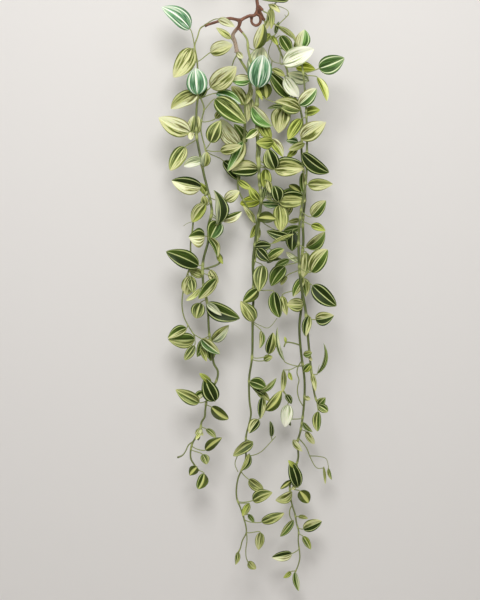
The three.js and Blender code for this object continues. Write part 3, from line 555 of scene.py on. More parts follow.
def route(places, step):
    """Points at even steps along one smooth curve through the places."""
    samples = 16
    guides = [2 * places[0] - places[1], *places, 2 * places[-1] - places[-2]]
    fine = [places[0]]
    for before, start, end, after in zip(guides, guides[1:], guides[2:], guides[3:]):
        d0 = math.sqrt((start - before).length)
        d1 = math.sqrt((end - start).length)
        d2 = math.sqrt((after - end).length)
        leave = ((start - before) / d0 - (end - before) / (d0 + d1) + (end - start) / d1) * d1
        arrive = ((end - start) / d1 - (after - start) / (d1 + d2) + (after - end) / d2) * d1
        for k in range(1, samples + 1):
            t = k / samples
            ease = t * t * (3 - 2 * t)
            ends = start * (1 - ease) + end * ease
            fine.append(ends + leave * t * (1 - t) ** 2 - arrive * t * t * (1 - t))
    spans = [(b - a).length for a, b in zip(fine, fine[1:])]
    count = max(2, round(sum(spans) / step))
    even = sum(spans) / count
    points = [fine[0]]
    walked = 0.0
    for point, next_point, span in zip(fine, fine[1:], spans):
        while len(points) < count and walked + span >= len(points) * even:
            points.append(point.lerp(next_point, (len(points) * even - walked) / span))
        walked += span
    return [*points, fine[-1]]


class Growth:
    """The mesh of one plant piece while it grows: its vertices and faces, and what is painted on each vertex.

    body is the blade's green and its share of cream, stripe is its cream and how wide its middle stripe is,
    part is how far across and along a blade, its random number and whether it is its underside, and grain is
    the place across and along in mm, with a random number. On a stem, part ends with how pale it is.
    """

    def __init__(self):
        self.vertices = []
        self.faces = []
        self.slots = []
        self.margin = set()
        self.paint = {"body": [], "stripe": [], "part": [], "grain": []}

    def add_vertex(self, point, part, grain, body=(0, 0, 0, 0), stripe=(0, 0, 0, 0)):
        self.vertices.append(point)
        self.paint["part"].extend(part)
        self.paint["grain"].extend((*grain, 0.0))
        self.paint["body"].extend(body)
        self.paint["stripe"].extend(stripe)
        return len(self.vertices) - 1

    def add_face(self, corners, slot):
        self.faces.append(corners)
        self.slots.append(slot)

    def finish(self, name, materials):
        mesh = bpy.data.meshes.new(name)
        mesh.from_pydata(self.vertices, [], self.faces)
        for key, values in self.paint.items():
            layer = mesh.attributes.new(key, "FLOAT_COLOR", "POINT")
            layer.data.foreach_set("color", values)
        mesh.polygons.foreach_set("material_index", self.slots)
        mesh.shade_smooth()
        for edge in mesh.edges:
            edge.use_edge_sharp = self.margin.issuperset(edge.vertices)
        for material in materials:
            mesh.materials.append(material)
        grown = bpy.data.objects.new(name, mesh)
        scene.collection.objects.link(grown)
        return grown


def add_tube(growth, points, radii, sides, slot, seed, roughness=0.0, marks=None):
    """A closed round stem along points. marks says how pale each point is, from 0 to 1, as at a joint."""
    side = Vector((1, 0, 0))
    rings = []
    walked = 0.0
    last = len(points) - 1
    for i, (point, radius) in enumerate(zip(points, radii)):
        along = (points[min(i + 1, last)] - points[max(i - 1, 0)]).normalized()
        if abs(side.dot(along)) > 0.95:
            side = Vector((0, 1, 0))
        side = (side - along * side.dot(along)).normalized()
        other = along.cross(side)
        mark = marks[i] if marks else 0.0
        if i:
            walked += (point - points[i - 1]).length
        ring = []
        for k in range(sides):
            angle = math.tau * k / sides
            spoke = side * math.cos(angle) + other * math.sin(angle)
            lump = Vector((spoke.x * 2, spoke.y * 2 + seed, walked / BARK_LUMP)) + spoke
            swell = 1 + roughness * noise.noise(lump)
            part = (math.cos(angle), walked / MM, seed % 1.0, mark)
            grain = (math.cos(angle) * radius / MM, walked / MM, math.sin(angle) * radius / MM + seed)
            ring.append(growth.add_vertex(point + spoke * radius * swell, part, grain))
        rings.append(ring)
    for ring, next_ring in zip(rings, rings[1:]):
        for k in range(sides):
            m = (k + 1) % sides
            growth.add_face((ring[k], ring[m], next_ring[m], next_ring[k]), slot)
    growth.add_face(tuple(reversed(rings[0])), slot)
    growth.add_face(tuple(rings[-1]), slot)


def bump_at(distance, centre, width):
    """A soft bump of height 1 about a centre."""
    return math.exp(-(((distance - centre) / width) ** 2))


def between(values, share):
    """The value at a share of the way along a list whose values stand at even shares."""
    at = share * (len(values) - 1)
    k = min(int(at), len(values) - 2)
    return values[k] + (values[k + 1] - values[k]) * (at - k)


# Thin bark: pink-brown and a little silky, with redder streaks and short dark cracks along it
def bark_material():
    material, tree, surface = new_material("thin_bark")
    grain = add_node(tree, "ShaderNodeAttribute", {}, attribute_name="grain").outputs["Vector"]
    worn = add_node(tree, "ShaderNodeAttribute", {}, attribute_name="part").outputs["Alpha"]
    wide, long = BARK_STREAK
    inputs = {"Vector": grain, "Scale": (1 / wide, 1 / long, 1 / wide)}
    streak_place = add_node(tree, "ShaderNodeMapping", inputs).outputs[0]
    inputs = {"Vector": streak_place, "Scale": 1.0, "Detail": 4.0}
    streaks = add_node(tree, "ShaderNodeTexNoise", inputs).outputs[0]
    limits = {"Value": streaks, "From Min": 0.35, "From Max": 0.65}
    tone = add_node(tree, "ShaderNodeMapRange", limits).outputs[0]
    inputs = {0: tone, 6: linear(BARK_RED), 7: linear(BARK_PINK)}
    bark = add_node(tree, "ShaderNodeMix", inputs, data_type="RGBA").outputs[2]
    inputs = {0: worn, 6: bark, 7: linear(BARK_WORN)}
    bark = add_node(tree, "ShaderNodeMix", inputs, data_type="RGBA").outputs[2]
    wide, long = CRACK_SIZE
    inputs = {"Vector": grain, "Scale": (1 / wide, 1 / long, 1 / wide)}
    crack_place = add_node(tree, "ShaderNodeMapping", inputs).outputs[0]
    inputs = {"Vector": crack_place, "Scale": 1.0, "Detail": 3.0}
    cracks = add_node(tree, "ShaderNodeTexNoise", inputs).outputs[0]
    limits = {"Value": cracks, "From Min": 0.36, "From Max": 0.44, "To Min": 0.8, "To Max": 0.0}
    is_crack = add_node(tree, "ShaderNodeMapRange", limits).outputs[0]
    inputs = {0: is_crack, 6: bark, 7: linear(BARK_CRACK)}
    colour = add_node(tree, "ShaderNodeMix", inputs, data_type="RGBA").outputs[2]
    inputs = {"Height": cracks, "Strength": 0.6, "Distance": 0.4 * MM}
    bump = add_node(tree, "ShaderNodeBump", inputs).outputs[0]
    surface.inputs["Roughness"].default_value = 0.55
    connect(tree, surface, base_color=colour, normal=bump)
    return material


wood_growth = Growth()
branch_ends = {}
for n, (name, (end_radii, way)) in enumerate(WOOD_BRANCHES.items()):
    places = [place(*spot) for spot in way]
    if name == "trunk":
        places = [Vector(spot) * MM for spot in TRUNK_RISE] + places
    points = route(places, BARK_STEP)
    length = BARK_STEP * (len(points) - 1)
    radii = []
    marks = []
    for i in range(len(points)):
        walked = i * BARK_STEP
        share = i / (len(points) - 1)
        knots = START_KNOT * bump_at(walked, 0, KNOT_LENGTH)
        knots += END_KNOT * bump_at(walked, length, KNOT_LENGTH / 2)
        if name == "trunk" and share <= 0.5:
            knots = 0
        radii.append(between(end_radii, share) * MM * (1 + knots))
        worn = min(1, max(0, walked / WORN_FROM - 1))
        marks.append(WORN_PALENESS * worn if name == "fork" else 0)
    add_tube(wood_growth, points, radii, BARK_SIDES, 0, BRANCH_SEED_STEP * n, BARK_ROUGHNESS, marks)
    branch_ends[name] = (points[-1], (points[-1] - points[-2]).normalized())
wood = wood_growth.finish("forked_woody_stem", [bark_material()])
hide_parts("woody_stem")
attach(wood, "root")

# Leaves: each is a pointed oval blade, folded a little along its midrib, with two halves that bulge like
# quilting. It is fleshy and about 0.5 mm thick, striped green and cream along its parallel veins, with a thin
# green edge.
BLADE_ROWS = 18
BLADE_COLUMNS = 12
BLADE_ARCH = 0.07
BLADE_FLESH = 0.5 * MM
BLADE_BULGE = 0.13
BLADE_FOLD = 0.2
BLADE_FOLD_SPREAD = 0.16
BLADE_BASE_ROUNDNESS = 0.56
BLADE_WIDEST = 0.38
BLADE_WIDEST_SPREAD = 0.09
# How far a blade may bow, twist and wave at random, where its twist is nil, and how quickly its waves follow
BLADE_BOW = 0.12
BLADE_TWIST = 0.6
BLADE_WAVE = 0.16
TWIST_MIDDLE = 0.3
WAVE_TURNS = 9
# A blade thins out over the last fifth at each end
FLESH_TAPER = 5
PETIOLE_RADIUS = 0.7 * MM
PETIOLE_ROOT_RADIUS = 0.6 * MM
PETIOLE_REACH = 0.22
PETIOLE_SIDES = 7
PETIOLE_STEPS = 8
PETIOLE_SEED = 0.37
PETIOLE_PALENESS = 0.6
# How far along the blade its keel reaches in two steps, and how thick it still is there
PETIOLE_KEEL = [(0.12, 0.6), (0.3, 0.35)]
# Distance in mm between the streaks of a leaf, and how long they are
VEIN_SPACING = 1.6
STREAK_LENGTH = 20
DARKEST_GREEN = 0.46
# A tone of a blade's half: its green, its cream, the share of cream in it, and half its middle stripe's width
TONES = {
    "deep": ("#374916", "#c3cb8c", 0.04, 0.055),
    "dark": ("#58702a", "#c9cf8c", 0.12, 0.06),
    "green": ("#57783c", "#e0eabc", 0.15, 0.075),
    "fresh": ("#648f43", "#d3e4ae", 0.2, 0.06),
    # The blue tone is partly the leaf's own colour and partly a painted sheen of reflected light
    "blue": ("#6a9c70", "#f4f9e6", 0.3, 0.08),
    "sage": ("#9aa67f", "#dfe2ba", 0.45, 0.07),
    "stripe": ("#66753a", "#d3d693", 0.28, 0.1),
    "mid": ("#5b662a", "#c2c477", 0.08, 0.27),
    "olive": ("#7a8340", "#c6c886", 0.38, 0.08),
    "acid": ("#7d8b1f", "#cfd462", 0.25, 0.1),
    "lime": ("#74822e", "#c3cb6c", 0.38, 0.1),
    "pale": ("#7a823c", "#d4d49d", 0.54, 0.08),
    "cream": ("#a9a76a", "#e8ebbf", 0.62, 0.1),
    "lemon": ("#b5c05e", "#ecf0ac", 0.56, 0.1),
    "white": ("#bbc794", "#f4f6de", 0.85, 0.1),
}
LEAF_UNDERSIDE = "#a9b68a"
STEM_GREEN = "#5f6c2c"
STEM_DARK = "#3a431a"
STEM_PALE = "#a3ab66"
# Width and length in mm of a green stem's streaks
STEM_STREAK = (1.25, 12.5)


def blade_outline(u, widest):
    """Half the width of a blade at a place along it, as a share of its greatest, which is at widest."""
    tip_power = BLADE_BASE_ROUNDNESS * (1 - widest) / widest
    greatest = widest**BLADE_BASE_ROUNDNESS * (1 - widest) ** tip_power
    return u**BLADE_BASE_ROUNDNESS * (1 - u) ** tip_power / greatest


def tone_paint(tone):
    """What is painted for a tone: its green with its share of cream, and its cream with its middle stripe."""
    green, cream, share, middle = TONES[tone]
    return (*linear(green)[:3], share), (*linear(cream)[:3], middle)


def add_blade(growth, base, tip, width, facing, tone, random, bow):
    """A blade from its base to its tip with its upper face towards facing. tone may be one, or left/right."""
    along = tip - base
    length = along.length
    along.normalize()
    up = (facing - along * facing.dot(along)).normalized()
    across = up.cross(along)
    left, right = (tone.split("/") * 2)[:2]
    left_paint, right_paint = tone_paint(left), tone_paint(right)
    seed = 100 * random()
    shade = random()
    bend = bow or BLADE_BOW * (random() - 0.5)
    twist = BLADE_TWIST * (random() - 0.5)
    wave = BLADE_WAVE * random()
    phase = math.tau * random()
    fold = BLADE_FOLD + BLADE_FOLD_SPREAD * (random() + (left != right))
    widest = BLADE_WIDEST + BLADE_WIDEST_SPREAD * random()

    def paint(v, u, under):
        body, stripe = left_paint if v > 0 else right_paint
        part = (v, u, shade, under)
        grain = (v * width / 2 / MM, u * length / MM, seed)
        return {"part": part, "grain": grain, "body": body, "stripe": stripe}

    start = growth.add_vertex(base, **paint(0, 0, 0))
    end = growth.add_vertex(tip, **paint(0, 1, 0))
    growth.margin.update((start, end))
    tops, bottoms = [], []
    for i in range(1, BLADE_ROWS):
        u = (1 - math.cos(math.pi * i / BLADE_ROWS)) / 2
        half = blade_outline(u, widest) * width / 2
        arched = 4 * u * (1 - u) * length
        middle = base + along * (u * length) + up * (BLADE_ARCH * arched) + across * (bend * arched)
        angle = twist * (u - TWIST_MIDDLE)
        side = across * math.cos(angle) + up * math.sin(angle)
        rise = up * math.cos(angle) - across * math.sin(angle)
        flesh = BLADE_FLESH * min(1, FLESH_TAPER * u, FLESH_TAPER * (1 - u))
        top, bottom = [], []
        for j in range(BLADE_COLUMNS + 1):
            v = 2 * j / BLADE_COLUMNS - 1
            lift = fold * abs(v) + BLADE_BULGE * math.sin(0.8 * math.pi * abs(v))
            lift += wave * v * v * math.sin(WAVE_TURNS * u + phase + v)
            point = middle + side * (v * half) + rise * (lift * half)
            top.append(growth.add_vertex(point, **paint(v, u, 0)))
            if abs(v) < 1:
                below = point - rise * flesh * (1 - v * v) ** 0.5
                bottom.append(growth.add_vertex(below, **paint(v, u, 1)))
        growth.margin.update((top[0], top[-1]))
        tops.append(top)
        bottoms.append([top[0], *bottom, top[-1]])
    for k in range(BLADE_COLUMNS):
        for row, next_row in zip(tops, tops[1:]):
            growth.add_face((row[k], next_row[k], next_row[k + 1], row[k + 1]), 1)
        for row, next_row in zip(bottoms, bottoms[1:]):
            growth.add_face((row[k + 1], next_row[k + 1], next_row[k], row[k]), 1)
        growth.add_face((start, tops[0][k], tops[0][k + 1]), 1)
        growth.add_face((start, bottoms[0][k + 1], bottoms[0][k]), 1)
        growth.add_face((tops[-1][k], end, tops[-1][k + 1]), 1)
        growth.add_face((bottoms[-1][k + 1], end, bottoms[-1][k]), 1)


def add_petiole(growth, root, heading, base, tip, facing):
    """A thin leaf stalk that leaves the stem along it, bends to the blade's base, and runs on as its keel."""
    along = (tip - base).normalized()
    up = (facing - along * facing.dot(along)).normalized()
    reach = PETIOLE_REACH * (base - root).length
    controls = [root, root + heading * reach, base - along * reach, base]
    points = []
    for k in range(PETIOLE_STEPS + 1):
        t = k / PETIOLE_STEPS
        weights = ((1 - t) ** 3, 3 * t * (1 - t) ** 2, 3 * t * t * (1 - t), t**3)
        points.append(sum((c * weight for c, weight in zip(controls, weights)), Vector()))
    length = (tip - base).length
    thicker = (PETIOLE_RADIUS - PETIOLE_ROOT_RADIUS) / PETIOLE_STEPS
    radii = [PETIOLE_ROOT_RADIUS + thicker * k for k in range(PETIOLE_STEPS + 1)]
    for u, thin in PETIOLE_KEEL:
        lift = BLADE_ARCH * 4 * u * (1 - u) * length - BLADE_FLESH
        points.append(base + along * (u * length) + up * lift)
        radii.append(PETIOLE_RADIUS * thin)
    marks = [PETIOLE_PALENESS] * len(points)
    add_tube(growth, points, radii, PETIOLE_SIDES, 0, PETIOLE_SEED, 0.0, marks)


# Striped leaf: satin, a little see-through. Green and cream lie in streaks along the parallel veins, which
# stand about 1 mm apart and are drawn 1.6 mm apart so that they show. The underside is paler and greyer.
def leaf_material():
    material, tree, surface = new_material("striped_leaf")
    body = add_node(tree, "ShaderNodeAttribute", {}, attribute_name="body").outputs
    stripe = add_node(tree, "ShaderNodeAttribute", {}, attribute_name="stripe").outputs
    part = add_node(tree, "ShaderNodeAttribute", {}, attribute_name="part").outputs
    grain = add_node(tree, "ShaderNodeAttribute", {}, attribute_name="grain").outputs["Vector"]
    across, along, shade = add_node(tree, "ShaderNodeSeparateXYZ", {0: part["Vector"]}).outputs
    from_rib = add_node(tree, "ShaderNodeMath", {0: across}, operation="ABSOLUTE").outputs[0]
    share = body["Alpha"]
    middle = stripe["Alpha"]
    soft = {"interpolation_type": "SMOOTHSTEP"}

    # Streaks follow the veins: strong at the base, fading to the tip, where the blade turns creamier
    drawn_out = (1 / VEIN_SPACING, 1 / STREAK_LENGTH, 1.0)
    vein_place = add_node(tree, "ShaderNodeMapping", {"Vector": grain, "Scale": drawn_out}).outputs[0]
    inputs = {"Vector": vein_place, "Scale": 1.0, "Detail": 2.0}
    streaks = add_node(tree, "ShaderNodeTexNoise", inputs).outputs[0]
    limits = {"Value": share, "From Max": 0.6, "To Min": 0.14, "To Max": 0.58}
    lively = add_node(tree, "ShaderNodeMapRange", limits).outputs[0]
    limits = {"Value": along, "From Min": 0.1, "From Max": 0.95, "To Min": 1.2, "To Max": 0.45}
    calming = add_node(tree, "ShaderNodeMapRange", limits, **soft).outputs[0]
    limits = {"Value": streaks, "From Min": 0.36, "From Max": 0.64, "To Min": -1.0}
    swing = add_node(tree, "ShaderNodeMapRange", limits, **soft).outputs[0]
    swing = add_node(tree, "ShaderNodeMath", {0: swing, 1: lively}, operation="MULTIPLY").outputs[0]
    inputs = {0: swing, 1: calming, 2: share}
    swing = add_node(tree, "ShaderNodeMath", inputs, operation="MULTIPLY_ADD").outputs[0]
    to_tip = add_node(tree, "ShaderNodeMath", {0: along, 1: 0.45}, operation="SUBTRACT").outputs[0]
    creamier = add_node(tree, "ShaderNodeMath", {0: share, 1: 0.4}, operation="ADD").outputs[0]
    inputs = {0: to_tip, 1: creamier, 2: swing}
    cream = add_node(tree, "ShaderNodeMath", inputs, operation="MULTIPLY_ADD").outputs[0]

    # The rib is a cream stripe that widens to the tip
    limits = {"Value": along, "From Max": 0.9, "To Min": 0.7, "To Max": 1.5}
    widening = add_node(tree, "ShaderNodeMapRange", limits).outputs[0]
    rib_start = add_node(tree, "ShaderNodeMath", {0: middle, 1: widening}, operation="MULTIPLY").outputs[0]
    rib_end = add_node(tree, "ShaderNodeMath", {0: rib_start, 1: 1.5}, operation="MULTIPLY").outputs[0]
    rib_start = add_node(tree, "ShaderNodeMath", {0: rib_start, 1: 0.55}, operation="MULTIPLY").outputs[0]
    limits = {"Value": from_rib, "From Min": rib_start, "From Max": rib_end, "To Min": 0.92, "To Max": 0.0}
    rib = add_node(tree, "ShaderNodeMapRange", limits, **soft).outputs[0]

    # A cream line runs inside the edge, a little differently on each leaf. A wide middle stripe has none.
    limits = {"Value": shade, "To Min": -0.05, "To Max": 0.05}
    shift = add_node(tree, "ShaderNodeMapRange", limits).outputs[0]
    shifted = add_node(tree, "ShaderNodeMath", {0: from_rib, 1: shift}, operation="ADD").outputs[0]
    limits = {"Value": shifted, "From Min": 0.64, "From Max": 0.74}
    line_start = add_node(tree, "ShaderNodeMapRange", limits, **soft).outputs[0]
    limits = {"Value": shifted, "From Min": 0.78, "From Max": 0.87, "To Min": 0.85, "To Max": 0.0}
    line_end = add_node(tree, "ShaderNodeMapRange", limits, **soft).outputs[0]
    limits = {"Value": middle, "From Min": 0.14, "From Max": 0.22, "To Min": 1.0, "To Max": 0.0}
    has_line = add_node(tree, "ShaderNodeMapRange", limits).outputs[0]
    line = add_node(tree, "ShaderNodeMath", {0: line_start, 1: line_end}, operation="MULTIPLY").outputs[0]
    line = add_node(tree, "ShaderNodeMath", {0: line, 1: has_line}, operation="MULTIPLY").outputs[0]
    cream = add_node(tree, "ShaderNodeMath", {0: cream, 1: rib}, operation="MAXIMUM").outputs[0]
    cream = add_node(tree, "ShaderNodeMath", {0: cream, 1: line}, operation="MAXIMUM").outputs[0]

    # The edge is green, and less so towards the tip
    limits = {"Value": along, "From Min": 0.5, "From Max": 0.95, "To Min": 0.15, "To Max": 0.7}
    edge = add_node(tree, "ShaderNodeMapRange", limits, **soft).outputs[0]
    limits = {"Value": from_rib, "From Min": 0.84, "From Max": 0.94, "To Min": 1.0, "To Max": edge}
    inside = add_node(tree, "ShaderNodeMapRange", limits, **soft).outputs[0]
    cream = add_node(tree, "ShaderNodeMath", {0: cream, 1: inside}, operation="MULTIPLY").outputs[0]

    # Where there is least cream the green is darkest
    inputs = {0: body["Color"], "Scale": DARKEST_GREEN}
    darkest = add_node(tree, "ShaderNodeVectorMath", inputs, operation="SCALE").outputs[0]
    is_green = add_node(tree, "ShaderNodeMapRange", {"Value": cream, "From Max": 0.35}, **soft).outputs[0]
    inputs = {0: is_green, 6: darkest, 7: body["Color"]}
    green = add_node(tree, "ShaderNodeMix", inputs, data_type="RGBA").outputs[2]
    limits = {"Value": cream, "From Min": 0.3, "From Max": 0.95}
    is_cream = add_node(tree, "ShaderNodeMapRange", limits, **soft).outputs[0]
    inputs = {0: is_cream, 6: green, 7: stripe["Color"]}
    colour = add_node(tree, "ShaderNodeMix", inputs, data_type="RGBA").outputs[2]
    under = add_node(tree, "ShaderNodeMath", {0: part["Alpha"], 1: 0.45}, operation="MULTIPLY").outputs[0]
    inputs = {0: under, 6: colour, 7: linear(LEAF_UNDERSIDE)}
    colour = add_node(tree, "ShaderNodeMix", inputs, data_type="RGBA").outputs[2]
    limits = {"Value": shade, "To Min": 0.86, "To Max": 1.12}
    brightness = add_node(tree, "ShaderNodeMapRange", limits).outputs[0]
    inputs = {0: colour, "Scale": brightness}
    colour = add_node(tree, "ShaderNodeVectorMath", inputs, operation="SCALE").outputs[0]
    bump = add_node(tree, "ShaderNodeBump", {"Height": streaks, "Strength": 0.35, "Distance": 0.3 * MM})

    surface.inputs["Roughness"].default_value = 0.42
    surface.inputs["Specular IOR Level"].default_value = 0.12
    surface.inputs["Subsurface Weight"].default_value = 0.15
    surface.inputs["Subsurface Radius"].default_value = (0.8 * MM, 1.2 * MM, 0.4 * MM)
    surface.inputs["Subsurface Scale"].default_value = 1.0
    connect(tree, surface, base_color=colour, normal=bump.outputs[0])
    return material


# Green stem: soft and juicy, olive with darker streaks, paler and yellower at each joint and where it is thin
def stem_material():
    material, tree, surface = new_material("juicy_green_stem")
    grain = add_node(tree, "ShaderNodeAttribute", {}, attribute_name="grain").outputs["Vector"]
    pale = add_node(tree, "ShaderNodeAttribute", {}, attribute_name="part").outputs["Alpha"]
    wide, long = STEM_STREAK
    inputs = {"Vector": grain, "Scale": (1 / wide, 1 / long, 1 / wide)}
    streak_place = add_node(tree, "ShaderNodeMapping", inputs).outputs[0]
    inputs = {"Vector": streak_place, "Scale": 1.0, "Detail": 2.0}
    streaks = add_node(tree, "ShaderNodeTexNoise", inputs).outputs[0]
    limits = {"Value": streaks, "From Min": 0.35, "From Max": 0.65}
    share = add_node(tree, "ShaderNodeMapRange", limits).outputs[0]
    inputs = {0: share, 6: linear(STEM_DARK), 7: linear(STEM_GREEN)}
    green = add_node(tree, "ShaderNodeMix", inputs, data_type="RGBA").outputs[2]
    inputs = {0: pale, 6: green, 7: linear(STEM_PALE)}
    colour = add_node(tree, "ShaderNodeMix", inputs, data_type="RGBA").outputs[2]
    inputs = {"Height": streaks, "Strength": 0.3, "Distance": 0.2 * MM}
    bump = add_node(tree, "ShaderNodeBump", inputs).outputs[0]
    surface.inputs["Roughness"].default_value = 0.45
    connect(tree, surface, base_color=colour, normal=bump)
    return material


striped_leaf = leaf_material()
green_stem = stem_material()

# Trailing stems: five soft green stems that hang from the ends of the wood, with a swollen joint at each leaf
# and thin side stems. Each leaves the wood at one depth, and eases over to the depth at which it hangs in
# front of the wall.
STEM_STEP = 2.5 * MM
STEM_SIDES = 10
STEM_ROUGHNESS = 0.05
# A stalk leaves its stem further up than the leaf's base, by this share of its distance from the stem
ROOT_SHIFT = 0.45
FIRST_ROOT = 8 * MM
LEAF_ROLL = 0.5
JOINT_SWELL = 0.3
JOINT_LENGTH = 2.2 * MM
WOOD_OVERLAP = 2 * MM
WOOD_EXIT = 3 * MM
# Painted light: over this length and by this much a stem's top is painted paler, where the plant is lit most.
# How pale a thin run is beside an old one of this radius in mm
PAINTED_LIGHT_LENGTH = 100 * MM
TOP_PAINTED_LIGHT = 0.8
THIN_PALENESS = 0.8
OLD_STEM_RADIUS = 1.7
TOWARDS_VIEWER = Vector((0, -1, 0))
